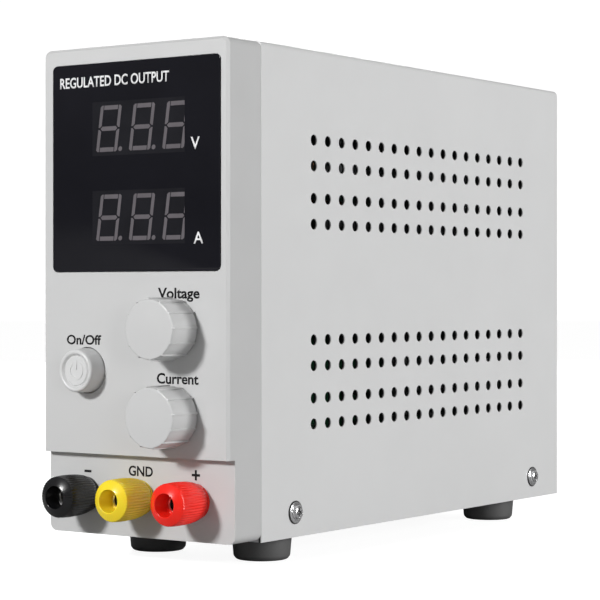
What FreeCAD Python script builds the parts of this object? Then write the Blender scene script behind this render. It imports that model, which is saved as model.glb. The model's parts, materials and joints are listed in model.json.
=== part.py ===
import FreeCAD, Part
import math
import os

import Sketcher
from FreeCAD import Placement, Rotation, Vector

# Bench power supply: a narrow upright case with two displays, two turning knobs, a push switch
# and three binding posts on its front, and a fan, a mains inlet and a voltage selector behind.
#
# Every sub-part is drawn in the case frame and then placed in the part frame.
#   case frame: X right, Y back from the bezel's front face, Z up from the cover's bottom edge
#   part frame: the same directions, with the origin under the middle, at the feet's lowest face

SIZES = {
    # placing the case frame in the part frame
    "front_y": -96.925,
    "foot_height": 8.0,
    # case
    "case_width": 72.0,
    "case_height": 150.0,
    "case_length": 205.0,
    "sheet": 1.0,
    "bend": 2.0,
    "cover_edge": 0.3,
    "seam_y": 16.2,
    "skin_gap": 0.3,
    "flange_height": 13.5,
    "wall_height": 135.0,
    "flange_y": 20.0,
    # vent holes, the same on both sides
    "vent_radius": 1.7,
    "vent_first_y": 44.0,
    "vent_pitch_y": 7.8,
    "vent_columns": 18,
    "vent_low_z": 34.1,
    "vent_pitch_z": 8.0,
    "vent_pair_step": 18.0,
    "vent_block_step": 61.8,
    # front bezel
    "bezel_width": 71.7,
    "bezel_bottom": 0.5,
    "bezel_top": 149.9,
    "bezel_corner": 2.5,
    "bezel_wall": 3.0,
    "bezel_side": 2.5,
    "step_z": 25.4,
    "step_depth": 3.2,
    "front_chamfer": 0.85,
    "lip_outer": 69.4,
    "lip_wall": 1.5,
    "lip_end": 19.5,
    "boss_radius": 3.0,
    "boss_low_x": 10.6,
    "boss_low_z": 7.0,
    "boss_high_x": 29.5,
    "boss_high_z": 72.0,
    # display lens
    "lens_x": 0.6,
    "lens_width": 64.9,
    "lens_bottom": 81.1,
    "lens_top": 144.7,
    "lens_proud": 0.3,
    "lens_seat": 1.2,
    "lens_rim": 2.0,
    "lens_corner": 1.8,
    "lens_edge": 0.25,
    "lens_gap": 0.15,
    # display modules
    "digits_x": 1.05,
    "digits_high_z": 124.95,
    "digits_low_z": 98.4,
    "digits_width": 37.7,
    "digits_height": 19.0,
    "digits_depth": 8.0,
    "digits_y": 1.6,
    "digit_pins": 6,
    # controls
    "knob_x": 15.6,
    "knob_high_z": 63.9,
    "knob_low_z": 37.9,
    "knob_length": 12.0,
    "knob_radius": 9.0,
    "knob_rib": 0.4,
    "knob_ribs": 12,
    "knob_gap": 0.5,
    "shaft_radius": 3.0,
    "running_gap": 0.05,
    "bushing_radius": 3.5,
    "pot_radius": 8.25,
    "pot_depth": 9.0,
    "button_x": -18.1,
    "button_z": 50.9,
    "button_radius": 6.85,
    "button_face": 6.55,
    "button_length": 6.0,
    "button_flange": 8.0,
    "plunger_side": 4.0,
    # binding posts
    "post_x": 21.2,
    "post_z": 12.6,
    "post_radius": 6.3,
    "post_nose": 15.0,
    "post_back": 1.2,
    "post_recess": 3.5,
    "post_floor": 9.6,
    "clamp_y": 4.6,
    "clamp_radius": 4.6,
    "collar_height": 0.9,
    "seat_radius": 3.9,
    "stud_flange": 3.6,
    "stud_radius": 2.6,
    "socket_radius": 2.05,
    "socket_depth": 15.0,
    "stud_front": -9.9,
    "stud_back": 13.0,
    "post_grooves": 44,
    # boards
    "board": 1.6,
    "front_board_y": 12.0,
    "main_board_x": -28.0,
    "main_board_front": 30.0,
    "main_board_back": 182.0,
    "main_board_bottom": 14.0,
    "main_board_top": 136.0,
    # screws
    "screw_radius": 1.5,
    "screw_hole": 1.7,
    "thread_hole": 1.55,
    "side_screw_z": 7.6,
    "side_screw_front": 33.9,
    "side_screw_back": 185.4,
    "cover_screw_head": 2.5,
    "cover_screw_height": 1.7,
    "cover_screw_flange": 3.6,
    # feet
    "foot_radius": 9.4,
    "foot_x": 20.55,
    "foot_front": 37.9,
    "foot_back": 180.1,
    # rear panel
    "rear_y": 202.0,
    "rear_sheet": 1.2,
    "rear_width": 69.2,
    "rear_screw_x": 29.5,
    "rear_screw_low": 7.0,
    "rear_screw_high": 141.0,
    "fan_z": 104.0,
    "fan_side": 60.0,
    "fan_depth": 15.0,
    "fan_hole": 25.0,
    "inlet_z": 28.0,
    "inlet_width": 27.0,
    "inlet_height": 20.0,
    "selector_z": 56.0,
    "selector_travel": 4.8,
}


class Size:
    """A length that carries both its number and the spreadsheet formula that gives it."""

    def __init__(self, number, formula):
        self.number = number
        self.formula = formula

    @staticmethod
    def of(value):
        if isinstance(value, Size):
            return value
        return Size(float(value), f"({float(value)!r})")

    def combine(self, other, sign, number):
        return Size(number, f"({self.formula} {sign} {other.formula})")

    def __add__(self, other):
        other = Size.of(other)
        return self.combine(other, "+", self.number + other.number)

    def __sub__(self, other):
        other = Size.of(other)
        return self.combine(other, "-", self.number - other.number)

    def __mul__(self, other):
        other = Size.of(other)
        return self.combine(other, "*", self.number * other.number)

    def __truediv__(self, other):
        other = Size.of(other)
        return self.combine(other, "/", self.number / other.number)

    def __radd__(self, other):
        return Size.of(other) + self

    def __rsub__(self, other):
        return Size.of(other) - self

    def __rmul__(self, other):
        return Size.of(other) * self

    def __neg__(self):
        return Size.of(0) - self


class Sheet:
    """Reads a driving dimension by its alias, as in S.case_width."""

    def __getattr__(self, alias):
        return Size(float(SIZES[alias]), f"Sizes.{alias}")


S = Sheet()
doc = FreeCAD.newDocument("BenchPowerSupply")
nodes = []


def make_sheet():
    sheet = doc.addObject("Spreadsheet::Sheet", "Sizes")
    for row, (alias, number) in enumerate(SIZES.items(), start=1):
        sheet.set(f"A{row}", alias)
        sheet.set(f"B{row}", str(number))
        sheet.setAlias(f"B{row}", alias)
    doc.recompute()


def bind(item, name, size):
    item.setExpression(name, Size.of(size).formula)


def place(item, x=0, y=0, z=0):
    """Puts an object drawn in the case frame, or about its own axis, where it belongs in the part frame."""
    bind(item, "Placement.Base.x", x)
    bind(item, "Placement.Base.y", S.front_y + y)
    bind(item, "Placement.Base.z", S.foot_height + z)


def node(item, label, x=0, y=0, z=0):
    """Names a finished sub-part, places it and lists it to be written."""
    item.Label = label
    place(item, x, y, z)
    nodes.append(item)
    return item


# ---------------------------------------------------------------- Part Design helpers

def make_body(name):
    return doc.addObject("PartDesign::Body", name)


def origin_feature(body, role):
    return next(item for item in body.Origin.OriginFeatures if item.Role == role)


def sketch_on(body, role, at=0):
    """A sketch on one of the body's own origin planes, moved along that plane's axis to 'at'."""
    sketch = body.newObject("Sketcher::SketchObject", f"{body.Name}_sketch")
    sketch.AttachmentSupport = [(origin_feature(body, role), "")]
    sketch.MapMode = "FlatFace"
    height = -Size.of(at) if role == "XZ_Plane" else Size.of(at)
    bind(sketch, "AttachmentOffset.Base.z", height)
    return sketch


def lock(sketch, kind, values, size):
    size = Size.of(size)
    index = sketch.addConstraint(Sketcher.Constraint(kind, *values, size.number))
    sketch.setExpression(f"Constraints[{index}]", size.formula)


def lock_point(sketch, geometry, corner, point):
    lock(sketch, "DistanceX", (-1, 1, geometry, corner), point[0])
    lock(sketch, "DistanceY", (-1, 1, geometry, corner), point[1])


def vector(point):
    return Vector(Size.of(point[0]).number, Size.of(point[1]).number, 0)


def polygon(sketch, points):
    """A closed outline of straight lines whose corners are all bound to the sheet."""
    first = sketch.GeometryCount
    count = len(points)
    for index in range(count):
        start = vector(points[index])
        end = vector(points[(index + 1) % count])
        sketch.addGeometry(Part.LineSegment(start, end), False)
    for index in range(count):
        line = first + index
        following = first + (index + 1) % count
        sketch.addConstraint(Sketcher.Constraint("Coincident", line, 2, following, 1))
        lock_point(sketch, line, 1, points[index])
    return sketch


def rectangle(sketch, left, bottom, right, top):
    return polygon(sketch, [(left, bottom), (right, bottom), (right, top), (left, top)])


def circle(sketch, x, y, radius):
    index = sketch.addGeometry(
        Part.Circle(vector((x, y)), Vector(0, 0, 1), Size.of(radius).number), False
    )
    lock_point(sketch, index, 3, (x, y))
    lock(sketch, "Radius", (index,), radius)
    return sketch


def extrude(kind, body, sketch, length, toward):
    """A Pad or Pocket of the sketch whose material lies toward +1 or -1 on the plane's own world axis."""
    feature = body.newObject(f"PartDesign::{kind}", f"{body.Name}_{kind}")
    feature.Profile = sketch
    bind(feature, "Length", length)
    normal_sign = -1 if sketch.AttachmentSupport[0][0].Role == "XZ_Plane" else 1
    natural = normal_sign if kind == "Pad" else -normal_sign
    feature.Reversed = natural != toward
    return feature


def pad(body, sketch, length, toward=1):
    return extrude("Pad", body, sketch, length, toward)


def pocket(body, sketch, length, toward=1):
    """Cuts the sketch out of the body and makes sure that something was cut."""
    doc.recompute()
    before = body.Shape.Volume
    feature = extrude("Pocket", body, sketch, length, toward)
    doc.recompute()
    if body.Shape.Volume > before - 1e-3:
        raise RuntimeError(f"{feature.Name} cuts nothing")
    return feature


def revolve(body, points, kind="Revolution"):
    """A turned solid about the body's Y axis; each point is (radius, y)."""
    sketch = polygon(sketch_on(body, "XY_Plane"), points)
    feature = body.newObject(f"PartDesign::{kind}", f"{body.Name}_{kind}")
    feature.Profile = sketch
    feature.ReferenceAxis = (origin_feature(body, "Y_Axis"), [""])
    feature.Angle = 360
    return feature


def row_pattern(body, feature, role, pitch, count):
    pattern = body.newObject("PartDesign::LinearPattern", f"{body.Name}_row")
    pattern.Originals = [feature]
    pattern.Direction = (origin_feature(body, role), [""])
    bind(pattern, "Length", Size.of(pitch) * (Size.of(count) - 1))
    bind(pattern, "Occurrences", count)
    body.Tip = pattern
    return pattern


def ring_pattern(body, feature, count, role="Y_Axis"):
    pattern = body.newObject("PartDesign::PolarPattern", f"{body.Name}_ring")
    pattern.Originals = [feature]
    pattern.Axis = (origin_feature(body, role), [""])
    pattern.Angle = 360
    bind(pattern, "Occurrences", count)
    body.Tip = pattern
    return pattern


def dress(kind, body, wanted, size):
    """A Fillet or Chamfer on every edge of the body's tip that 'wanted' accepts."""
    doc.recompute()
    base = body.Tip
    names = [f"Edge{i}" for i, edge in enumerate(base.Shape.Edges, start=1) if wanted(edge)]
    feature = body.newObject(f"PartDesign::{kind}", f"{body.Name}_{kind}")
    feature.Base = (base, names)
    bind(feature, "Radius" if kind == "Fillet" else "Size", size)
    doc.recompute()
    return feature


def runs_along(edge, axis):
    """True for a straight edge along the axis numbered 0, 1 or 2."""
    if edge.Curve.TypeId != "Part::GeomLine":
        return False
    return abs(edge.Curve.Direction[axis]) > 0.999


def lies_at(edge, axis, size):
    """True for an edge whose whole length is at one coordinate on the given axis."""
    wanted = Size.of(size).number
    ends = [vertex.Point[axis] for vertex in edge.Vertexes]
    return all(abs(end - wanted) < 1e-4 for end in ends)


def fillet_uprights(body, radius, axis=1):
    dress("Fillet", body, lambda edge: runs_along(edge, axis), radius)


# ---------------------------------------------------------------- Part workbench helpers

def box(name, low, high):
    """A Part::Box between two corners."""
    item = doc.addObject("Part::Box", name)
    for side, base, start, end in zip(("Length", "Width", "Height"), "xyz", low, high):
        bind(item, side, Size.of(end) - start)
        bind(item, f"Placement.Base.{base}", start)
    return item


TURNS = {
    "x": Rotation(Vector(0, 1, 0), 90),
    "y": Rotation(Vector(1, 0, 0), -90),
    "z": Rotation(),
}


def rod(name, radius, length, start, axis="y"):
    """A Part::Cylinder that runs from 'start' along +X, +Y or +Z."""
    item = doc.addObject("Part::Cylinder", name)
    bind(item, "Radius", radius)
    bind(item, "Height", length)
    item.Placement = Placement(Vector(), TURNS[axis])
    for base, value in zip("xyz", start):
        bind(item, f"Placement.Base.{base}", value)
    return item


def fuse(name, shapes):
    item = doc.addObject("Part::MultiFuse", name)
    item.Shapes = shapes
    return item


def cut(name, base, tools):
    item = doc.addObject("Part::Cut", name)
    item.Base = base
    item.Tool = tools[0] if len(tools) == 1 else fuse(f"{name}_tools", tools)
    return item


def group(name, items):
    item = doc.addObject("Part::Compound", name)
    item.Links = items
    return item


def copy_at(master, name, x=0, y=0, z=0, turn=None):
    """A link to a master object, turned and then moved."""
    link = doc.addObject("App::Link", name)
    link.LinkedObject = master
    link.Placement = Placement(Vector(), turn or Rotation())
    for base, value in zip("xyz", (x, y, z)):
        bind(link, f"Placement.Base.{base}", value)
    return link


# Rotations that point a fastener, which is drawn with its head at -Y, another way
SHANK_BACK = Rotation()
SHANK_FRONT = Rotation(Vector(0, 0, 1), 180)
SHANK_LEFT = Rotation(Vector(0, 0, 1), 90)
SHANK_RIGHT = Rotation(Vector(0, 0, 1), -90)
SHANK_UP = Rotation(Vector(1, 0, 0), 90)


def make_screw(name, shank, length, head, head_height, flange=None):
    """A pan-head screw along +Y, with the underside of its head at y = 0 and a cross recess.
    A flange is the radius of the washer formed under the head."""
    body = make_body(name)
    head, top = Size.of(head), -Size.of(head_height)
    skirt = [(head, top * 0.3), (head, 0)]
    if flange:
        skirt = [(head, top * 0.3), (flange - 0.5, top * 0.33), (flange, top * 0.15), (flange, 0)]
    revolve(
        body,
        [(0, top), (head * 0.62, top), (head * 0.9, top * 0.7)] + skirt + [
            (shank, 0), (shank, Size.of(length) - 0.4), (Size.of(shank) - 0.4, length), (0, length),
        ],
    )
    arm = head * 0.5
    half = head * 0.11
    cross = sketch_on(body, "XZ_Plane", top)
    polygon(
        cross,
        [
            (-arm, -half), (-half, -half), (-half, -arm), (half, -arm), (half, -half), (arm, -half),
            (arm, half), (half, half), (half, arm), (-half, arm), (-half, half), (-arm, half),
        ],
    )
    pocket(body, cross, Size.of(head_height) * 0.6, toward=1)
    return body


# ---------------------------------------------------------------- case

def make_top_cover():
    """The folded sheet that makes the top and both sides, with the vent holes."""
    body = make_body("top_cover")
    half = S.case_width / 2
    inner = half - S.sheet
    outline = sketch_on(body, "XZ_Plane", S.seam_y)
    polygon(
        outline,
        [
            (-half, 0), (-half, S.case_height), (half, S.case_height), (half, 0),
            (inner, 0), (inner, S.case_height - S.sheet),
            (-inner, S.case_height - S.sheet), (-inner, 0),
        ],
    )
    pad(body, outline, S.case_length - S.seam_y)
    dress(
        "Fillet", body,
        lambda edge: runs_along(edge, 1) and lies_at(edge, 2, S.case_height), S.bend,
    )
    dress(
        "Fillet", body,
        lambda edge: runs_along(edge, 1) and lies_at(edge, 2, S.case_height - S.sheet),
        S.bend - S.sheet,
    )
    dress("Fillet", body, on_cover_front, S.cover_edge)
    tabs = sketch_on(body, "XZ_Plane", S.rear_y - S.sheet - 0.2)
    for side in (-1, 1):
        near, far = sorted((side * 24.0, side * (SIZES["case_width"] / 2 - 0.5)))
        rectangle(tabs, near, S.rear_screw_high - 5, far, S.case_height - 0.5)
    pad(body, tabs, S.sheet)
    holes = sketch_on(body, "XZ_Plane", S.rear_y)
    for side in (-1, 1):
        circle(holes, side * S.rear_screw_x, S.rear_screw_high, S.thread_hole)
    pocket(body, holes, S.sheet * 3, toward=-1)
    sides = sketch_on(body, "YZ_Plane", half + 1)
    for y in (S.side_screw_front, S.side_screw_back):
        circle(sides, y, S.side_screw_z, S.screw_hole + 0.3)
    pocket(body, sides, S.case_width + 2, toward=-1)
    vents = sketch_on(body, "YZ_Plane", half + 1)
    for block in (0, 1):
        for pair in (0, 1):
            for row in (0, 1):
                z = S.vent_low_z + S.vent_block_step * block + S.vent_pair_step * pair
                circle(vents, S.vent_first_y, z + S.vent_pitch_z * row, S.vent_radius)
    column = pocket(body, vents, S.case_width + 2, toward=-1)
    row_pattern(body, column, "Y_Axis", S.vent_pitch_y, S.vent_columns)
    return node(body, "top_cover")


def on_cover_front(edge):
    """True for the edges that run round the outside of the cover's front end."""
    skin = SIZES["sheet"] * 0.8
    middle = edge.CenterOfMass
    on_side = abs(middle.x) > SIZES["case_width"] / 2 - skin and middle.z > skin
    on_top = middle.z > SIZES["case_height"] - skin
    return lies_at(edge, 1, S.seam_y) and (on_side or on_top)


def make_base_tray():
    """The folded base: floor, low right side, tall left wall that carries the main board."""
    body = make_body("base_tray")
    half = S.case_width / 2 - S.sheet - S.skin_gap
    back = S.rear_y - 0.2
    floor = rectangle(sketch_on(body, "XY_Plane"), -half, S.seam_y + 0.4, half, S.rear_y + S.rear_sheet)
    pad(body, floor, S.sheet)
    right = sketch_on(body, "YZ_Plane", half - S.sheet)
    pad(body, rectangle(right, S.flange_y, 0, back, S.flange_height), S.sheet)
    left = sketch_on(body, "YZ_Plane", -half)
    pad(body, rectangle(left, S.flange_y, 0, back, S.wall_height), S.sheet)
    for y in (S.flange_y, back - S.sheet):
        flange = sketch_on(body, "XZ_Plane", y)
        pad(body, rectangle(flange, -half, 0, half, S.flange_height), S.sheet)
    ear = sketch_on(body, "XZ_Plane", S.flange_y)
    rectangle(ear, -half, S.boss_high_z - 7, -S.boss_high_x + 4, S.boss_high_z + 7)
    pad(body, ear, S.sheet)
    windows = sketch_on(body, "YZ_Plane", -half + S.sheet + 1)
    for block in (0, 1):
        low = S.vent_low_z + S.vent_block_step * block
        rectangle(windows, S.vent_first_y - 3, low - 4, S.rear_y - 22, low + S.vent_pair_step + 12)
    pocket(body, windows, S.sheet + 2, toward=-1)
    sides = sketch_on(body, "YZ_Plane", half + 1)
    for y in (S.side_screw_front, S.side_screw_back):
        circle(sides, y, S.side_screw_z, S.thread_hole + 0.25)
    pocket(body, sides, S.case_width, toward=-1)
    front = sketch_on(body, "XZ_Plane", S.flange_y - 1)
    for side in (-1, 1):
        circle(front, side * S.boss_low_x, S.boss_low_z, S.screw_hole)
    circle(front, -S.boss_high_x, S.boss_high_z, S.screw_hole)
    pocket(body, front, S.sheet + 2, toward=1)
    rear = sketch_on(body, "XZ_Plane", back + 1)
    for side in (-1, 1):
        circle(rear, side * S.rear_screw_x, S.rear_screw_low, S.thread_hole)
    pocket(body, rear, S.sheet + 2, toward=-1)
    below = sketch_on(body, "XY_Plane", S.sheet + 1)
    for side in (-1, 1):
        for y in (S.foot_front, S.foot_back):
            circle(below, side * S.foot_x, y, S.thread_hole)
    pocket(body, below, S.sheet + 2, toward=-1)
    return node(body, "base_tray")


FAN_RINGS = ((8.0, 6), (14.4, 12), (20.8, 18), (27.2, 24))


def make_rear_panel():
    """The flat back plate, drawn about the fan's axis so that its vent rings are round patterns."""
    body = make_body("rear_panel")
    half = S.rear_width / 2
    low = S.sheet + 0.2 - S.fan_z
    high = S.case_height - S.sheet - S.skin_gap - S.fan_z
    pad(body, rectangle(sketch_on(body, "XZ_Plane"), -half, low, half, high), S.rear_sheet)
    square_holes = sketch_on(body, "XZ_Plane", -1)
    inlet_half = S.inlet_width / 2 + 0.2
    inlet_mid = S.inlet_z - S.fan_z
    rectangle(
        square_holes, -inlet_half, inlet_mid - S.inlet_height / 2 - 0.2,
        inlet_half, inlet_mid + S.inlet_height / 2 + 0.2,
    )
    selector_mid = S.selector_z - S.fan_z
    rectangle(square_holes, -5.8, selector_mid - 3.2, 5.8, selector_mid + 3.2)
    pocket(body, square_holes, S.rear_sheet + 2, toward=1)
    screws = sketch_on(body, "XZ_Plane", -1)
    for side in (-1, 1):
        for z in (S.rear_screw_low, S.rear_screw_high):
            circle(screws, side * S.rear_screw_x, z - S.fan_z, S.screw_hole)
        for up in (-1, 1):
            circle(screws, side * S.fan_hole, up * S.fan_hole, S.screw_hole + 0.3)
        circle(screws, side * 9.5, selector_mid, S.screw_hole - 0.4)
    pocket(body, screws, S.rear_sheet + 2, toward=1)
    middle = circle(sketch_on(body, "XZ_Plane", -1), 0, 0, 2.2)
    pocket(body, middle, S.rear_sheet + 2, toward=1)
    for radius, count in FAN_RINGS:
        hole = circle(sketch_on(body, "XZ_Plane", -1), radius, 0, 2.2)
        ring_pattern(body, pocket(body, hole, S.rear_sheet + 2, toward=1), count)
    return node(body, "rear_panel", 0, S.rear_y, S.fan_z)


def make_front_bezel():
    """The moulded front: a stepped face with the display window and every control's hole."""
    body = make_body("front_bezel")
    half = S.bezel_width / 2
    lower = sketch_on(body, "XZ_Plane", S.step_depth)
    pad(body, rectangle(lower, -half, S.bezel_bottom, half, S.bezel_top), S.seam_y - S.step_depth)
    fillet_uprights(body, S.bezel_corner)
    upper = sketch_on(body, "XZ_Plane")
    pad(body, rectangle(upper, -half, S.step_z, half, S.bezel_top - S.bezel_corner), S.step_depth)
    crown = sketch_on(body, "XZ_Plane")
    inner = half - S.bezel_corner
    rectangle(crown, -inner, S.bezel_top - S.bezel_corner, inner, S.bezel_top)
    pad(body, crown, S.step_depth)
    for side in (-1, 1):
        corner = sketch_on(body, "XZ_Plane")
        circle(corner, side * inner, S.bezel_top - S.bezel_corner, S.bezel_corner)
        pad(body, corner, S.step_depth)
    lip = sketch_on(body, "XZ_Plane", S.seam_y)
    lip_half = S.lip_outer / 2
    lip_low = S.sheet + S.skin_gap
    lip_high = S.case_height - S.sheet - S.skin_gap
    rectangle(lip, -lip_half, lip_low, lip_half, lip_high)
    pad(body, lip, S.lip_end - S.seam_y)
    lip_bore = sketch_on(body, "XZ_Plane", S.lip_end)
    rectangle(
        lip_bore, -(lip_half - S.lip_wall), lip_low + S.lip_wall,
        lip_half - S.lip_wall, lip_high - S.lip_wall,
    )
    pocket(body, lip_bore, S.lip_end - S.seam_y, toward=-1)
    wide = half - S.bezel_side
    low_bay = sketch_on(body, "XZ_Plane", S.seam_y)
    low_floor = S.bezel_bottom + S.bezel_side
    rectangle(low_bay, -wide, low_floor, wide, S.step_z + S.bezel_side)
    pocket(body, low_bay, S.seam_y - S.step_depth - S.bezel_wall, toward=-1)
    high_bay = sketch_on(body, "XZ_Plane", S.seam_y)
    rectangle(high_bay, -wide, S.step_z + S.bezel_side, wide, S.bezel_top - S.bezel_side)
    pocket(body, high_bay, S.seam_y - S.bezel_wall, toward=-1)
    boss_front = S.step_depth + S.bezel_wall - 0.5
    low_bosses = sketch_on(body, "XZ_Plane", boss_front)
    for side in (-1, 1):
        circle(low_bosses, side * S.boss_low_x, S.boss_low_z, S.boss_radius)
    pad(body, low_bosses, S.flange_y - 0.1 - boss_front)
    high_boss = sketch_on(body, "XZ_Plane", S.bezel_wall - 0.5)
    circle(high_boss, -S.boss_high_x, S.boss_high_z, S.boss_radius)
    pad(body, high_boss, S.flange_y + 0.4 - S.bezel_wall)
    pilots = sketch_on(body, "XZ_Plane", S.flange_y)
    for side in (-1, 1):
        circle(pilots, side * S.boss_low_x, S.boss_low_z, S.thread_hole)
    circle(pilots, -S.boss_high_x, S.boss_high_z, S.thread_hole)
    pocket(body, pilots, 9.0, toward=-1)
    seat = sketch_on(body, "XZ_Plane", -1)
    reach = S.lens_width / 2 + S.lens_gap
    left, right = S.lens_x - reach, S.lens_x + reach
    low, high = S.lens_bottom - S.lens_gap, S.lens_top + S.lens_gap
    rectangle(seat, left, low, right, high)
    pocket(body, seat, S.lens_seat + 1, toward=1)
    dress("Fillet", body, in_lens_corner, S.lens_corner + S.lens_gap)
    window = sketch_on(body, "XZ_Plane", -1)
    rim = S.lens_rim + S.lens_gap
    rectangle(window, left + rim, low + rim, right - rim, high - rim)
    pocket(body, window, S.bezel_wall + 2, toward=1)
    holes = sketch_on(body, "XZ_Plane", -1)
    for z in (S.knob_high_z, S.knob_low_z):
        circle(holes, S.knob_x, z, S.bushing_radius + 0.1)
    circle(holes, S.button_x, S.button_z, S.button_radius + 0.3)
    pocket(body, holes, S.bezel_wall + 2, toward=1)
    posts = sketch_on(body, "XZ_Plane", S.step_depth - 1)
    for side in (-1, 0, 1):
        circle(posts, side * S.post_x, S.post_z, S.seat_radius + 0.1)
    pocket(body, posts, S.bezel_wall + 2, toward=1)
    dress(
        "Chamfer", body,
        lambda edge: lies_at(edge, 1, 0) and outside_window(edge), S.front_chamfer,
    )
    return node(body, "front_bezel")


def in_lens_corner(edge):
    """True for the four upright edges of the lens's seat."""
    reach = SIZES["lens_width"] / 2 + SIZES["lens_gap"]
    low = SIZES["lens_bottom"] - SIZES["lens_gap"]
    high = SIZES["lens_top"] + SIZES["lens_gap"]
    middle = edge.CenterOfMass
    off_side = abs(abs(middle.x - SIZES["lens_x"]) - reach)
    off_end = min(abs(middle.z - low), abs(middle.z - high))
    return runs_along(edge, 1) and off_side < 0.01 and off_end < 0.01


def outside_window(edge):
    """True for the edges of the bezel's front face that run round its outside."""
    half = SIZES["bezel_width"] / 2
    middle = edge.CenterOfMass
    on_side = abs(abs(middle.x) - half) < SIZES["bezel_corner"] / 2
    on_top = abs(middle.z - SIZES["bezel_top"]) < SIZES["bezel_corner"]
    return on_side or on_top


def make_display_lens():
    """The dark acrylic window, standing slightly proud of the bezel."""
    body = make_body("display_lens")
    half = S.lens_width / 2
    front = -S.lens_proud
    face = sketch_on(body, "XZ_Plane", front)
    rectangle(face, S.lens_x - half, S.lens_bottom, S.lens_x + half, S.lens_top)
    pad(body, face, S.lens_proud + S.lens_seat)
    fillet_uprights(body, S.lens_corner)
    dress("Chamfer", body, lambda edge: lies_at(edge, 1, front), S.lens_edge)
    return node(body, "display_lens")


def make_feet():
    """Four tapered rubber feet, each with a deep recess for its screw's head."""
    foot = make_body("foot")
    sketch = sketch_on(foot, "XZ_Plane")
    polygon(
        sketch,
        [
            (1.8, 0), (S.foot_radius, 0), (S.foot_radius - 0.6, -S.foot_height + 1.4),
            (S.foot_radius - 1.6, -S.foot_height),
            (4.2, -S.foot_height), (4.2, -3.0), (1.8, -3.0),
        ],
    )
    feature = foot.newObject("PartDesign::Revolution", "foot_turning")
    feature.Profile = sketch
    feature.ReferenceAxis = (origin_feature(foot, "Z_Axis"), [""])
    feature.Angle = 360
    feet = [
        copy_at(foot, "foot_copy", side * S.foot_x, y, 0)
        for side in (-1, 1)
        for y in (S.foot_front, S.foot_back)
    ]
    node(group("rubber_feet", feet), "rubber_feet")


def make_cover_screws():
    """Two chrome screws in each side of the cover."""
    screw = make_screw(
        "cover_screw", 1.75, 6.0, S.cover_screw_head, S.cover_screw_height, S.cover_screw_flange
    )
    copies = []
    for side, turn in ((1, SHANK_LEFT), (-1, SHANK_RIGHT)):
        for y in (S.side_screw_front, S.side_screw_back):
            copies.append(copy_at(screw, "side_screw", side * S.case_width / 2, y, S.side_screw_z, turn))
    node(group("cover_screws", copies), "cover_screws")


def make_chassis_screws():
    """The identical M3 screws of the bezel, the main board, the rear panel and the feet."""
    screw = make_screw("machine_screw", S.screw_radius, 6.0, 2.8, 2.0)
    copies = []
    for side in (-1, 1):
        copies.append(
            copy_at(screw, "bezel_screw", side * S.boss_low_x, S.flange_y + S.sheet, S.boss_low_z,
                    SHANK_FRONT)
        )
        for z in (S.rear_screw_low, S.rear_screw_high):
            copies.append(
                copy_at(screw, "panel_screw", side * S.rear_screw_x, S.rear_y + S.rear_sheet, z,
                        SHANK_FRONT)
            )
        for y in (S.foot_front, S.foot_back):
            copies.append(copy_at(screw, "foot_screw", side * S.foot_x, y, -3.0, SHANK_UP))
    copies.append(
        copy_at(screw, "bezel_screw", -S.boss_high_x, S.flange_y + S.sheet, S.boss_high_z, SHANK_FRONT)
    )
    for y, z in board_corners():
        copies.append(copy_at(screw, "board_screw", S.main_board_x + S.board, y, z, SHANK_LEFT))
    node(group("chassis_screws", copies), "chassis_screws")


# ---------------------------------------------------------------- front controls

def make_knob():
    """A cylindrical knob about the Y axis, its panel side at y = 0, with fine ribs and a hollow back."""
    body = make_body("knob")
    front = -S.knob_length
    back = -S.knob_gap
    bore = S.shaft_radius + 0.02
    revolve(
        body,
        [
            (0, front - 0.35), (S.knob_radius * 0.5, front - 0.25), (S.knob_radius - 1.1, front),
            (S.knob_radius - 0.35, front + 0.3), (S.knob_radius, front + 1.0),
            (S.knob_radius + 0.05, back),
            (S.knob_radius - 1.8, back), (S.knob_radius - 1.8, -4.6),
            (bore, -4.6), (bore, -11.0), (0, -11.0),
        ],
    )
    rib = sketch_on(body, "XZ_Plane", back)
    rectangle(rib, S.knob_radius - 0.5, -0.3, S.knob_radius + S.knob_rib, 0.3)
    feature = pad(body, rib, S.knob_length - S.knob_gap - 0.9, toward=-1)
    ring_pattern(body, feature, S.knob_ribs)
    return body


def make_knobs():
    for name, z in (("voltage", S.knob_high_z), ("current", S.knob_low_z)):
        knob = make_knob()
        node(knob, f"{name}_knob", S.knob_x, 0, z)
        shaft = rod(f"{name}_shaft_round", S.shaft_radius, 18.6, (0, -10.8, 0))
        flat = box(f"{name}_shaft_flat", (-3.5, -11.0, 2.5), (3.5, -6.0, 3.5))
        node(cut(f"{name}_shaft", shaft, [flat]), f"{name}_pot_shaft", S.knob_x, 0, z)


def make_pots():
    """Two potentiometer bodies, each a can with a threaded bushing that holds the shaft."""
    pot = make_body("pot")
    bore = S.shaft_radius + S.running_gap
    can = S.bezel_wall + S.pot_depth
    revolve(
        pot,
        [
            (bore, -4.0), (S.bushing_radius, -4.0), (S.bushing_radius, S.bezel_wall),
            (S.pot_radius, S.bezel_wall), (S.pot_radius, can), (0, can), (0, can - 3.5),
            (bore, can - 3.5),
        ],
    )
    bodies = [copy_at(pot, "pot_copy", S.knob_x, 0, z) for z in (S.knob_high_z, S.knob_low_z)]
    node(group("pot_bodies", bodies), "pot_bodies")
    nut = make_nut("pot_nut", 5.2, S.bushing_radius + S.running_gap, 2.0)
    washer = make_washer("pot_washer", 6.0, S.bushing_radius + S.running_gap, 0.5)
    rings = []
    for z in (S.knob_high_z, S.knob_low_z):
        rings.append(copy_at(nut, "pot_nut_copy", S.knob_x, -2.5, z))
        rings.append(copy_at(washer, "pot_washer_copy", S.knob_x, -0.5, z))
    node(group("pot_nuts", rings), "pot_nuts")


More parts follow.
